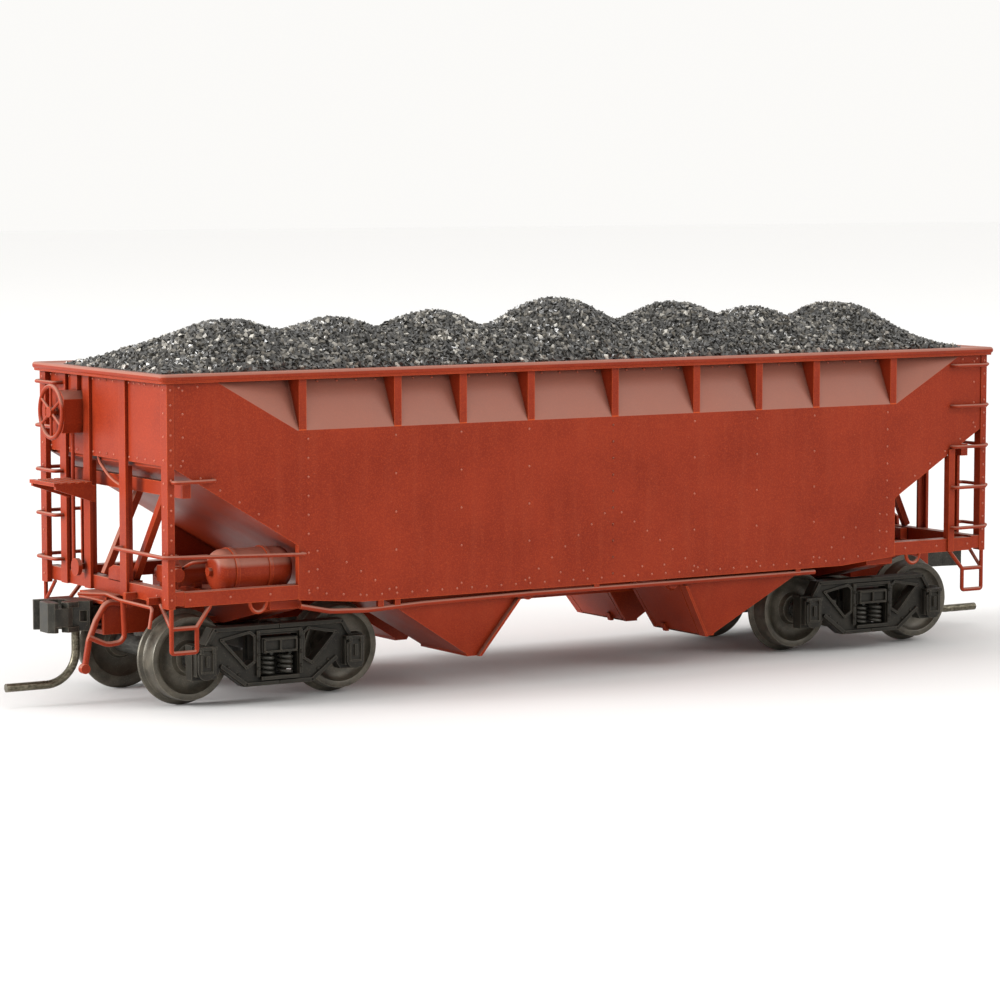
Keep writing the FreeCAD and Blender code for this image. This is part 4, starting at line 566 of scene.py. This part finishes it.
class Parts:
    # gathers rounded blocks and turned pieces, in millimetres, into one mesh
    def __init__(self):
        self.work = bmesh.new()

    def prism(self, outline, axis, low, high, bevel=0.08):
        # an outline in the other two axes' order, pushed between two places
        spots = []
        for level in (low, high):
            for first, second in outline:
                spot = [first, second]
                spot.insert("xyz".index(axis), level)
                spots.append(self.work.verts.new([number * mm for number in spot]))
        count = len(outline)
        made = [self.work.faces.new(spots[:count]), self.work.faces.new(spots[count:][::-1])]
        for index in range(count):
            after = (index + 1) % count
            made.append(self.work.faces.new((spots[after], spots[index], spots[index + count],
                                             spots[after + count])))
        bmesh.ops.recalc_face_normals(self.work, faces=made)
        if bevel:
            edges = list({edge for face in made for edge in face.edges})
            bmesh.ops.bevel(self.work, geom=edges, offset=bevel * mm, segments=2, profile=0.6,
                            affect="EDGES", clamp_overlap=True)
        return self

    def block(self, x, y, z, bevel=0.08):
        return self.prism([(x[0], y[0]), (x[1], y[0]), (x[1], y[1]), (x[0], y[1])], "z", z[0], z[1], bevel)

    def turned(self, profile, axis, centre, segments=32):
        # (along, radius) places turned round a line through centre along the axis
        rings = []
        order = "xyz".index(axis)
        for along, radius in profile:
            ring = []
            for index in range(segments):
                angle = math.tau * index / segments
                spot = [centre[0] + radius * math.cos(angle), centre[1] + radius * math.sin(angle)]
                spot.insert(order, along)
                ring.append(self.work.verts.new([number * mm for number in spot]))
            rings.append(ring)
        made = [self.work.faces.new(rings[0]), self.work.faces.new(rings[-1][::-1])]
        for first, second in zip(rings, rings[1:]):
            for index in range(segments):
                after = (index + 1) % segments
                made.append(self.work.faces.new((first[index], first[after], second[after], second[index])))
        bmesh.ops.recalc_face_normals(self.work, faces=made)
        return self

    def wire(self, points, radius, segments=10):
        # a smooth round wire on a spline through its control places
        data = bpy.data.curves.new("wire", "CURVE")
        data.dimensions = "3D"
        data.bevel_depth = radius * mm
        data.bevel_resolution = max(1, segments // 4)
        data.use_fill_caps = True
        data.resolution_u = 8
        spline = data.splines.new("NURBS")
        spline.points.add(len(points) - 1)
        for point, spot in zip(spline.points, points):
            point.co = (*[number * mm for number in spot], 1.0)
        spline.order_u = 3
        spline.use_endpoint_u = True
        holder = bpy.data.objects.new("wire", data)
        mesh = bpy.data.meshes.new_from_object(holder)
        self.work.from_mesh(mesh)
        bpy.data.objects.remove(holder)
        bpy.data.meshes.remove(mesh)
        return self

    def mesh(self, name, degrees=35):
        made = bpy.data.meshes.new(name)
        bmesh.ops.recalc_face_normals(self.work, faces=self.work.faces)
        self.work.to_mesh(made)
        self.work.free()
        shadeByAngle(made, degrees)
        return made


# top chord, a bulb angle with rounded edges
chordSizes = {
    "inner": (56.35, 12.85), "corner": 0.9, "leastCorner": 0.12, "innerCorner": 0.05, "thick": 0.84,
    "steps": 6,
    # inset from the outer edge, height over the chord's foot
    "profile": [(0.30, 0.0), (0.22, 0.05), (0.22, 0.26), (0.10, 0.34), (0.02, 0.46), (0.0, 0.62),
                (0.03, 0.80), (0.12, 0.92), (0.26, 0.99), (0.50, 1.0), (0.72, 0.97), (0.86, 0.88),
                (1.00, 0.84)]}


def chordLoop(reachX, reachY, corner, height, steps):
    loop = []
    for turn, (signX, signY) in enumerate(((1, 1), (-1, 1), (-1, -1), (1, -1))):
        for step in range(steps + 1):
            angle = math.pi / 2 * (turn + step / steps)
            loop.append((signX * (reachX - corner) + corner * math.cos(angle),
                         signY * (reachY - corner) + corner * math.sin(angle), height))
    return loop


def topChord():
    sizes = chordSizes
    foot, steps = rimLow[2], sizes["steps"]
    loops = []
    for inset, height in sizes["profile"]:
        corner = max(sizes["leastCorner"], sizes["corner"] - inset)
        loops.append(chordLoop(rimHigh[0] - inset, rimHigh[1] - inset, corner, foot + height, steps))
    innerX, innerY = sizes["inner"]
    for height in (sizes["thick"], 0.0):
        loops.append(chordLoop(innerX, innerY, sizes["innerCorner"], foot + height, steps))
    count = len(loops[0])
    points = [point for loop in loops for point in loop]
    faces = []
    for level in range(len(loops)):
        following = (level + 1) % len(loops)
        for index in range(count):
            after = (index + 1) % count
            faces.append((level * count + index, level * count + after, following * count + after,
                          following * count + index))
    chord = pieceFrom("topChordBead", meshFrom("topChordBead", points, faces, 50), "carbody", "body_red")
    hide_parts("top_chord")


topChord()
print("top chord made")


# roping staples, bent to a half ring, with the plates at the middle posts' feet and a thin pipe
stapleSizes = {"radius": 0.22, "inboard": 1.0, "reach": 1.05, "drop": 1.15, "steps": 10}
plateSizes = {
    "face": sheetHigh[0], "thick": 0.4, "foot": 13.7, "post": 3.8, "innerRise": 1.3, "rise": 1.8,
    "bevel": 0.05}
# the pipe's places across and up, a little inside the end sheet's face
pipeSizes = {
    "radius": 0.18, "inside": 0.5,
    "route": [(3.3, 27.7), (3.1, 26.9), (1.9, 26.2), (0.6, 25.4), (-1.4, 24.7), (-4.5, 24.2)]}


def ropingStaples():
    high = boxOf("roping_staples")[1]
    sizes = stapleSizes
    x = high[0] - sizes["radius"] - sizes["inboard"]
    y = high[1] - sizes["radius"]
    turns = [math.pi * step / sizes["steps"] for step in range(sizes["steps"] + 1)]
    parts = Parts()
    for signX in (1, -1):
        for signY in (1, -1):
            parts.wire([(signX * x + sizes["reach"] * math.cos(turn), signY * y,
                         high[2] - sizes["drop"] * math.sin(turn)) for turn in turns], sizes["radius"])
    staples = pieceFrom("ropingStapleRings", parts.mesh("ropingStapleRings"), "carbody", "body_red")
    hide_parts("roping_staples")


def footPlates():
    # on each end sill beside a middle post, under the diagonal's foot
    sizes = plateSizes
    foot, post, top = sizes["foot"], sizes["post"], sizes["foot"] + sizes["rise"]
    outline = [(post, foot), (0.0, foot), (0.1, foot + sizes["innerRise"]), (1.3, top), (post, top)]
    parts = Parts()
    for sign in (1, -1):
        low, high = sorted((sign * sizes["face"], sign * (sizes["face"] - sizes["thick"])))
        parts.prism([(sign * across, height) for across, height in outline], "x", low, high, sizes["bevel"])
    pieceFrom("footPlates", parts.mesh("footPlates"), "carbody", "body_red")


def endPipe():
    # from the end sheet's foot across to the middle post, on the brake's end
    x = -(sheetHigh[0] - pipeSizes["inside"])
    route = [(x, across, height) for across, height in pipeSizes["route"]]
    pipe = Parts().wire(route, pipeSizes["radius"]).mesh("endPipe")
    pieceFrom("endPipe", pipe, "carbody", "body_red")


ropingStaples()
footPlates()
endPipe()
print("staples, foot plates and end pipe made")


# castings get soft corners, each node with its own width
softSizes = {
    "segments": 2, "leastAngle": 40, "widths": {
        "sideframes_a": 0.16, "sideframes_b": 0.16, "truck_bolster_a": 0.14, "truck_bolster_b": 0.14,
        "coupler_a": 0.14, "coupler_b": 0.14, "knuckle_a": 0.18, "knuckle_b": 0.18, "brake_housing": 0.22,
        "draft_boxes": 0.12, "control_valve": 0.15, "end_frames": 0.06, "side_sills": 0.06,
        "end_panels": 0.05}}


def softenCastings():
    for name, width in softSizes["widths"].items():
        piece = nodes[name]
        weld = piece.modifiers.new("weld", "WELD")
        weld.merge_threshold = weldDistance * mm
        bevel = piece.modifiers.new("softCorners", "BEVEL")
        bevel.width = width * mm
        bevel.segments = softSizes["segments"]
        bevel.limit_method = "ANGLE"
        bevel.angle_limit = math.radians(softSizes["leastAngle"])
        bevel.use_clamp_overlap = True


softenCastings()
print("castings softened")


# truck castings: flanges, journal lids, bolster ends and spring seats
truckSizes = {"place": 42.2, "axle": 9.625, "face": 12.8, "bolsterFace": 13.15}
# runs of (out from the truck's middle, height), raised on the sideframe's face
flangeSizes = {
    "topChord": [(0.2, 8.86), (8.1, 8.86), (9.1, 7.25)],
    "lowerChord": [(0.2, 2.45), (4.2, 2.45), (7.3, 4.75)],
    "window": [(7.35, 7.7), (3.75, 8.36), (3.12, 7.9), (3.12, 5.0), (4.2, 4.38), (7.35, 7.7)],
    "width": 0.46, "stand": 0.34, "windowWidth": 0.34, "windowStand": 0.272, "overlap": 0.35, "bevel": 0.09}
# an arched lid under a hood, with a frame, a latch and two hinge lugs on it
lidSizes = {
    "face": 13.5, "inset": 0.15, "half": 1.12, "archHeight": 4.5, "steps": 10, "shoulder": 6.3, "top": 6.75,
    "topInset": 0.35, "back": 0.6, "rise": 0.22, "bevel": 0.12,
    "hoodHalf": 1.25, "hoodTop": 7.2, "hoodRise": 0.38, "hoodBevel": 0.14,
    "frameBack": 0.2, "frameRise": 0.36, "frameHalf": 0.78, "uprights": (-0.78, 0.6), "uprightWidth": 0.18,
    "uprightHeights": (4.3, 6.3), "railHeights": (4.2, 4.4), "frameBevel": 0.05,
    "latchRise": 0.5, "latchHalf": 0.22, "latchHeights": (4.9, 6.2), "lugs": (-0.72, 0.72), "lugHalf": 0.2,
    "lugHeights": (6.4, 7.0), "latchBevel": 0.08}
columnSizes = {"along": (2.5, 2.95), "rise": 0.42, "heights": (3.3, 8.3), "bevel": 0.1}
paneSizes = {
    "half": 2.15, "rise": 0.32, "bar": 0.24, "uprights": (-2.15, -0.12, 1.91),
    "uprightHeights": (5.95, 7.5), "rails": (5.92, 7.28), "bevel": 0.06}
seatSizes = {
    "plankHalf": 2.7, "plankSides": (9.3, 9.7), "plankHeights": (2.9, 7.4), "plankBevel": 0.05,
    "seatHalf": 2.4, "seatRise": 0.55, "seatHeights": (2.85, 3.25),
    "roofHalf": 2.9, "roofRise": 0.3, "roofHeights": (8.15, 8.5), "bevel": 0.1}
# rows from (out, height) to (out, height), how far they stand off the face, and their pitch
boltSizes = {
    "radius": 0.22, "rise": 0.16, "rows": [
        ((5.4, 8.72), (7.4, 8.72), 0.02, 2.0), ((2.72, 4.2), (2.72, 7.4), 0.42, 1.6),
        ((5.1, 3.6), (6.4, 4.55), 0.02, 1.6)]}


def sideSpan(side, near, far):
    # two places across the car on one side, the lower first
    return sorted((side * near, side * far))


def alongSpan(centre, way, near, far):
    # two places along the car, out from a truck's centre, the lower first
    return sorted((centre + way * near, centre + way * far))


def flange(parts, spots, side, width, stand):
    # a raised strip along a run of places on a sideframe's face
    sizes = flangeSizes
    low, high = sideSpan(side, truckSizes["face"], truckSizes["face"] + stand)
    for (x0, z0), (x1, z1) in zip(spots, spots[1:]):
        along = Vector((x1 - x0, z1 - z0)).normalized()
        across = Vector((-along.y, along.x)) * width / 2
        over = along * width * sizes["overlap"]
        outline = [(x0 - over.x - across.x, z0 - over.y - across.y),
                   (x1 + over.x - across.x, z1 + over.y - across.y),
                   (x1 + over.x + across.x, z1 + over.y + across.y),
                   (x0 - over.x + across.x, z0 - over.y + across.y)]
        parts.prism(outline, "y", low, high, sizes["bevel"])


def sideframeFlanges(parts, centre, way, side):
    # the top chord with its slope to the journal box, the lower chord and the rim round the window
    sizes = flangeSizes
    for name, width, stand in (("topChord", sizes["width"], sizes["stand"]),
                               ("lowerChord", sizes["width"], sizes["stand"]),
                               ("window", sizes["windowWidth"], sizes["windowStand"])):
        flange(parts, [(centre + way * x, z) for x, z in sizes[name]], side, width, stand)


def journalLid(parts, centre, way, side):
    sizes = lidSizes
    place = truckSizes["axle"] - sizes["inset"]
    face = sizes["face"]
    half = sizes["half"]
    first, last = alongSpan(centre, way, place - half, place + half)
    middle = (first + last) / 2
    turns = [math.pi * step / sizes["steps"] for step in range(sizes["steps"] + 1)]
    outline = [(middle - half * math.cos(turn), sizes["archHeight"] - half * math.sin(turn))
               for turn in turns]
    outline += [(last, sizes["shoulder"]), (last - sizes["topInset"], sizes["top"]),
                (first + sizes["topInset"], sizes["top"]), (first, sizes["shoulder"])]
    low, high = sideSpan(side, truckSizes["face"] + sizes["back"], face + sizes["rise"])
    parts.prism(outline, "y", low, high, sizes["bevel"])
    parts.block(alongSpan(centre, way, place - sizes["hoodHalf"], place + sizes["hoodHalf"]),
                sideSpan(side, truckSizes["face"], face + sizes["hoodRise"]),
                (sizes["top"], sizes["hoodTop"]), sizes["hoodBevel"])
    # the frame on the lid: two uprights and the rail at their feet
    frame = sideSpan(side, face + sizes["frameBack"], face + sizes["frameRise"])
    for x in sizes["uprights"]:
        parts.block(alongSpan(centre, way, place + x, place + x + sizes["uprightWidth"]), frame,
                    sizes["uprightHeights"], sizes["frameBevel"])
    parts.block(alongSpan(centre, way, place - sizes["frameHalf"], place + sizes["frameHalf"]), frame,
                sizes["railHeights"], sizes["frameBevel"])
    latch = sideSpan(side, face + sizes["frameBack"], face + sizes["latchRise"])
    parts.block(alongSpan(centre, way, place - sizes["latchHalf"], place + sizes["latchHalf"]), latch,
                sizes["latchHeights"], sizes["latchBevel"])
    for lug in sizes["lugs"]:
        parts.block(alongSpan(centre, way, place + lug - sizes["lugHalf"], place + lug + sizes["lugHalf"]),
                    latch, sizes["lugHeights"], sizes["latchBevel"])


def columnGuide(parts, centre, way, side):
    sizes = columnSizes
    parts.block(alongSpan(centre, way, *sizes["along"]),
                sideSpan(side, truckSizes["face"], truckSizes["face"] + sizes["rise"]), sizes["heights"],
                sizes["bevel"])


def bolsterPanes(parts, centre, side):
    # two framed panes on the bolster's end
    sizes = paneSizes
    half, bar = sizes["half"], sizes["bar"]
    across = sideSpan(side, truckSizes["bolsterFace"], truckSizes["bolsterFace"] + sizes["rise"])
    for x in sizes["uprights"]:
        parts.block((centre + x, centre + x + bar), across, sizes["uprightHeights"], sizes["bevel"])
    for z in sizes["rails"]:
        parts.block((centre - half, centre + half), across, (z, z + bar), sizes["bevel"])


def springPlank(parts, centre, side):
    # the dark plank behind the springs
    sizes = seatSizes
    parts.block((centre - sizes["plankHalf"], centre + sizes["plankHalf"]),
                sideSpan(side, *sizes["plankSides"]), sizes["plankHeights"], sizes["plankBevel"])


def springSeat(parts, centre, side):
    # the seat under the springs and the roof over the bolster
    sizes = seatSizes
    face = truckSizes["face"]
    for name in ("seat", "roof"):
        half = sizes[name + "Half"]
        parts.block((centre - half, centre + half), sideSpan(side, face, face + sizes[name + "Rise"]),
                    sizes[name + "Heights"], sizes["bevel"])


def truckBolts(end, centre):
    sizes = boltSizes
    runs = []
    for side in (1, -1):
        for way in (1, -1):
            for (x0, z0), (x1, z1), stand, pitch in sizes["rows"]:
                y = side * (truckSizes["face"] + stand)
                runs.append(((centre + way * x0, y, z0), (centre + way * x1, y, z1), (0, side, 0), pitch))
    rivetPiece("truckBolts" + end.upper(), runs, "truck_" + end, "truck_grey", radius=sizes["radius"],
               rise=sizes["rise"])


def truckFacing(end, centre):
    parts = Parts()
    for side in (1, -1):
        for way in (1, -1):
            sideframeFlanges(parts, centre, way, side)
            journalLid(parts, centre, way, side)
            columnGuide(parts, centre, way, side)
        springPlank(parts, centre, side)
        bolsterPanes(parts, centre, side)
        springSeat(parts, centre, side)
    name = "truckFacing" + end.upper()
    pieceFrom(name, parts.mesh(name), "truck_" + end, "truck_grey")


for end, sign in (("a", 1), ("b", -1)):
    truckFacing(end, sign * truckSizes["place"])
    truckBolts(end, sign * truckSizes["place"])
print("trucks detailed")


# wheels, turned smooth
wheelSizes = {
    "inner": 7.25, "axleHeight": 5.45, "segments": 96, "smoothAngle": 28,
    # place out from the wheel's back, radius: hub, dished back, flange, tread, rim and hollowed face
    "profile": [
        (0.10, 1.10), (0.10, 1.70), (0.35, 1.82), (0.62, 2.0), (0.72, 2.6), (0.55, 3.3), (0.22, 3.85),
        (0.02, 4.06), (0.0, 4.20), (0.0, 4.95), (0.05, 5.22), (0.16, 5.40), (0.32, 5.45), (0.48, 5.38),
        (0.60, 5.16), (0.72, 4.93), (0.92, 4.85), (1.6, 4.81), (2.62, 4.76), (2.76, 4.70), (2.79, 4.60),
        (2.79, 4.12), (2.74, 4.02), (2.40, 3.86), (2.10, 3.55), (1.92, 3.0), (1.90, 2.45), (2.0, 2.05),
        (2.3, 1.80), (2.60, 1.70), (2.64, 1.60), (2.64, 1.10)]}


def wheelset(label, body, node, centreX):
    sizes = wheelSizes
    name = "turnedWheels" + label
    parts = Parts()
    for side in (1, -1):
        profile = [(side * (sizes["inner"] + out), radius) for out, radius in sizes["profile"]]
        parts.turned(profile, "y", (centreX, sizes["axleHeight"]), sizes["segments"])
    piece = pieceFrom(name, parts.mesh(name, sizes["smoothAngle"]), body, "wheel_metal")
    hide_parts(node)


for end, sign in (("a", 1), ("b", -1)):
    for number, offset in ((1, -truckSizes["axle"]), (2, truckSizes["axle"])):
        wheelset(end.upper() + str(number), f"wheelset_{end}{number}", f"wheels_{end}{number}",
                 sign * truckSizes["place"] + offset)
print("wheels turned")


# coal load
coalSizes = {
    "halfLength": 56.3, "halfWidth": 12.75, "bedFoot": 37.3, "edge": 37.6, "ridge": 40.5, "ridgePower": 2.3,
    "endReach": 4.2, "endPower": 1.3, "columns": 226, "rows": 52, "smoothAngle": 60,
    # each mound's place along, rise and reach
    "mounds": [(-41.8, 2.15, 7.0), (-27.8, 2.1, 5.6), (-14.3, 2.6, 6.2), (3.3, 3.65, 8.1),
               (20.8, 2.85, 7.1), (32.8, 1.95, 4.9), (46.8, 2.6, 6.8)],
    "moundSide": 0.72, "moundFall": 1.5, "moundPower": 2.4,
    "roughen": 0.28, "roughScale": 0.16, "roughLevel": 3.1, "roughShape": (0.9, 2.1, 4),
    "roughAtSide": 0.35, "roughAtEnd": 0.2}
grainSizes = {
    "size": 0.52, "spacing": 0.40, "mostPerArea": 4.0e7, "steepest": 0.12, "least": (0.55, 0.45, 0.28),
    "most": (1.35, 1.0, 0.75), "spin": 6.283, "chip": 0.13,
    "seeds": {"scatter": 11, "spin": 3, "shape": 5, "tint": 8, "chip": 9}}


def coalHeight(x, y):
    sizes = coalSizes
    across = min(1.0, abs(y) / sizes["halfWidth"])
    inward = max(0.0, sizes["halfLength"] - abs(x)) / sizes["endReach"]
    endFall = 1 - math.exp(-inward ** sizes["endPower"])
    dome = 1 - across ** sizes["ridgePower"]
    height = sizes["edge"] + (sizes["ridge"] - sizes["edge"]) * dome * endFall
    for place, rise, reach in sizes["mounds"]:
        away = math.hypot((x - place) / reach, y / (sizes["halfWidth"] * sizes["moundSide"]))
        height += rise * math.exp(-sizes["moundFall"] * away ** sizes["moundPower"]) * endFall
    spot = Vector((x * sizes["roughScale"], y * sizes["roughScale"], sizes["roughLevel"]))
    rough = sizes["roughen"] * noise.fractal(spot, *sizes["roughShape"])
    towardsRidge = sizes["roughAtSide"] + (1 - sizes["roughAtSide"]) * dome
    return height + rough * towardsRidge * min(1.0, endFall + sizes["roughAtEnd"])


def coalSurface():
    sizes = coalSizes
    mesh = bpy.data.meshes.new("coalBed")
    columns, rows = sizes["columns"], sizes["rows"]
    points, faces = [], []
    for row in range(rows + 1):
        y = -sizes["halfWidth"] + 2 * sizes["halfWidth"] * row / rows
        for column in range(columns + 1):
            x = -sizes["halfLength"] + 2 * sizes["halfLength"] * column / columns
            points.append((x * mm, y * mm, coalHeight(x, y) * mm))
    wide = columns + 1
    for row in range(rows):
        for column in range(columns):
            corner = row * wide + column
            faces.append((corner, corner + 1, corner + 1 + wide, corner + wide))
    # skirt down into the tray, and a floor, so that the bed is closed
    rim = list(range(wide))
    rim += [row * wide + columns for row in range(1, rows + 1)]
    rim += [rows * wide + column for column in range(columns - 1, -1, -1)]
    rim += [row * wide for row in range(rows - 1, 0, -1)]
    below = len(points)
    for corner in rim:
        x, y, z = points[corner]
        points.append((x, y, sizes["bedFoot"] * mm))
    count = len(rim)
    for index in range(count):
        after = (index + 1) % count
        faces.append((rim[after], rim[index], below + index, below + after))
    faces.append(tuple(range(below + count - 1, below - 1, -1)))
    mesh.from_pydata(points, [], faces)
    return mesh


def grainTree():
    # chips scattered on the upward faces between two places along, each with its own size, turn and tint
    sizes = grainSizes
    seeds = sizes["seeds"]
    tree, given, out = startTree("coalGrains", [
        ("Spacing", "Float"), ("Size", "Float"), ("Lowest", "Float"), ("Highest", "Float"), ("Seed", "Int"),
        ("Finish", "Material")])
    place = addNode(tree, "GeometryNodeInputPosition")
    parts = addNode(tree, "ShaderNodeSeparateXYZ", {"Vector": place.outputs["Position"]})
    normal = addNode(tree, "GeometryNodeInputNormal")
    upward = addNode(tree, "ShaderNodeSeparateXYZ", {"Vector": normal.outputs[0]})
    faceUp = addNode(tree, "FunctionNodeCompare", {"A": upward.outputs["Z"], "B": sizes["steepest"]},
                     data_type="FLOAT", operation="GREATER_THAN")
    low = addNode(tree, "FunctionNodeCompare", {"A": parts.outputs["X"], "B": given.outputs["Lowest"]},
                  data_type="FLOAT", operation="GREATER_THAN")
    high = addNode(tree, "FunctionNodeCompare", {"A": parts.outputs["X"], "B": given.outputs["Highest"]},
                   data_type="FLOAT", operation="LESS_EQUAL")
    within = addNode(tree, "FunctionNodeBooleanMath", {0: low.outputs["Result"], 1: high.outputs["Result"]},
                     operation="AND")
    chosen = addNode(tree, "FunctionNodeBooleanMath", {0: within.outputs[0], 1: faceUp.outputs["Result"]},
                     operation="AND")
    scatter = addNode(tree, "GeometryNodeDistributePointsOnFaces", {
        "Mesh": given.outputs["Geometry"], "Selection": chosen.outputs[0],
        "Distance Min": given.outputs["Spacing"], "Density Max": sizes["mostPerArea"],
        "Seed": given.outputs["Seed"]}, distribute_method="POISSON")
    chip = addNode(tree, "GeometryNodeMeshCube", {
        "Size": (1, 1, 1), "Vertices X": 2, "Vertices Y": 2, "Vertices Z": 2})
    spin = addNode(tree, "FunctionNodeRandomValue", {
        "Min": (0, 0, 0), "Max": [sizes["spin"]] * 3, "Seed": seeds["spin"]}, data_type="FLOAT_VECTOR")
    shape = addNode(tree, "FunctionNodeRandomValue", {
        "Min": sizes["least"], "Max": sizes["most"], "Seed": seeds["shape"]}, data_type="FLOAT_VECTOR")
    sized = addNode(tree, "ShaderNodeVectorMath", {
        0: shape.outputs["Value"], "Scale": given.outputs["Size"]}, operation="SCALE")
    chips = addNode(tree, "GeometryNodeInstanceOnPoints", {
        "Points": scatter.outputs["Points"], "Instance": chip.outputs["Mesh"],
        "Rotation": spin.outputs["Value"], "Scale": sized.outputs["Vector"]})
    tint = addNode(tree, "FunctionNodeRandomValue", {
        "Min": 0.0, "Max": 1.0, "Seed": seeds["tint"]}, data_type="FLOAT")
    tinted = addNode(tree, "GeometryNodeStoreNamedAttribute", {
        "Geometry": chips.outputs["Instances"], "Name": "grainTint", "Value": tint.outputs[1]},
        data_type="FLOAT", domain="INSTANCE")
    real = addNode(tree, "GeometryNodeRealizeInstances", {"Geometry": tinted.outputs["Geometry"]})
    jitter = addNode(tree, "FunctionNodeRandomValue", {
        "Min": [-sizes["chip"]] * 3, "Max": [sizes["chip"]] * 3, "Seed": seeds["chip"]},
        data_type="FLOAT_VECTOR")
    pushed = addNode(tree, "ShaderNodeVectorMath", {
        0: jitter.outputs["Value"], "Scale": mm}, operation="SCALE")
    chipped = addNode(tree, "GeometryNodeSetPosition", {
        "Geometry": real.outputs["Geometry"], "Offset": pushed.outputs["Vector"]})
    painted = addNode(tree, "GeometryNodeSetMaterial", {
        "Geometry": chipped.outputs["Geometry"], "Material": given.outputs["Finish"]})
    tree.links.new(painted.outputs["Geometry"], out.inputs["Geometry"])
    return tree


def coalLoad():
    bedMesh = coalSurface()
    grains = grainTree()
    reach = coalSizes["halfLength"]
    spans = [(-reach, -reach / 3), (-reach / 3, reach / 3), (reach / 3, reach)]
    for label, (low, high) in zip(("B", "Mid", "A"), spans):
        name = "coalGrains" + label
        holder = bpy.data.objects.new("coalGrainsHolder", bedMesh.copy())
        bpy.context.scene.collection.objects.link(holder)
        withTree(holder, grains, {
            "Spacing": grainSizes["spacing"] * mm, "Size": grainSizes["size"] * mm, "Lowest": low * mm,
            "Highest": high * mm, "Seed": grainSizes["seeds"]["scatter"], "Finish": coalGrain})
        mesh = evaluatedMesh(holder, name)
        print("coal grains", label, len(mesh.polygons) * 2, "triangles")
        pieceFrom(name, mesh, "coal_load", "coal")
    shadeByAngle(bedMesh, coalSizes["smoothAngle"])
    bed = pieceFrom("coalBed", bedMesh, "coal_load", "coal", coalBed)
    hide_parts("coal_heap")


coalLoad()
print("coal load heaped")


# camera, light and floor
viewSizes = {
    "lens": 125.68, "sensor": 36, "shift": (0.00179, 0.0003), "place": (-229.17, -355.57, 59.39),
    "pitch": 5.3375, "yaw": 32.244, "nearest": 0.01}


def setCamera():
    data = bpy.data.cameras.new("camera")
    data.sensor_width = viewSizes["sensor"]
    data.lens = viewSizes["lens"]
    data.shift_x, data.shift_y = viewSizes["shift"]
    data.clip_start = viewSizes["nearest"]
    camera = bpy.data.objects.new("camera", data)
    bpy.context.scene.collection.objects.link(camera)
    camera.location = [number * mm for number in viewSizes["place"]]
    camera.rotation_euler = (math.radians(90 - viewSizes["pitch"]), 0, -math.radians(viewSizes["yaw"]))
    bpy.context.scene.camera = camera


lightSizes = {
    "world": 0.97, "worldColour": (1.0, 0.99, 0.97, 1.0),
    "soft": [  # name, place, aims at, size, watts
        ("keyLight", (-0.90, 0.20, 0.28), (-0.03, 0.0, 0.02), 0.36, 10.0),
        ("topLight", (-0.10, 0.10, 0.80), (0.0, 0.0, 0.03), 0.40, 0.9),
        ("sheenLight", (0.54, -0.68, 0.55), (0.0, 0.0, 0.03), 0.46, 2.4)]}


def setLights():
    for name, place, target, size, watts in lightSizes["soft"]:
        data = bpy.data.lights.new(name, "AREA")
        data.size = size
        data.energy = watts
        lamp = bpy.data.objects.new(name, data)
        bpy.context.scene.collection.objects.link(lamp)
        lamp.location = place
        lamp.rotation_euler = (Vector(target) - Vector(place)).to_track_quat("-Z", "Y").to_euler()
    world = bpy.data.worlds.new("studio")
    world.use_nodes = True
    background = world.node_tree.nodes["Background"]
    background.inputs["Color"].default_value = lightSizes["worldColour"]
    background.inputs["Strength"].default_value = lightSizes["world"]
    bpy.context.scene.world = world
    bpy.context.scene.view_settings.view_transform = "Standard"


# a pale floor, painted paler further from the car where the lamps light it less, so that it meets the world
# without a line
floorSizes = {
    "reach": 3.0, "cloudSize": 60.0, "grey": (0.77, 0.77, 0.765), "pale": (0.80, 0.80, 0.795),
    "far": (0.97, 0.97, 0.97), "fade": (0.2, 0.9), "roughness": 0.9}


def setFloor():
    sizes = floorSizes
    reach = sizes["reach"]
    corners = [(-reach, -reach, 0), (reach, -reach, 0), (reach, reach, 0), (-reach, reach, 0)]
    mesh = bpy.data.meshes.new("floor")
    mesh.from_pydata(corners, [], [(0, 1, 2, 3)])
    floor = bpy.data.objects.new("floor", mesh)
    bpy.context.scene.collection.objects.link(floor)
    material, tree, shader = startMaterial("paleFloor")
    coords = objectCoords(tree)
    cloud = mixed(tree, noiseFac(tree, coords, sizes["cloudSize"], 2.0), sizes["grey"], sizes["pale"])
    away = addNode(tree, "ShaderNodeVectorMath", {0: coords}, operation="LENGTH").outputs["Value"]
    # painted light: the floor's colour pales outwards, making up for the lamps' light falling off
    colour = mixed(tree, ranged(tree, away, *sizes["fade"]), cloud, sizes["far"])
    tree.links.new(colour, shader.inputs["Base Color"])
    shader.inputs["Roughness"].default_value = sizes["roughness"]
    mesh.materials.append(material)


setCamera()
setLights()
setFloor()
print("camera, lights and floor set")
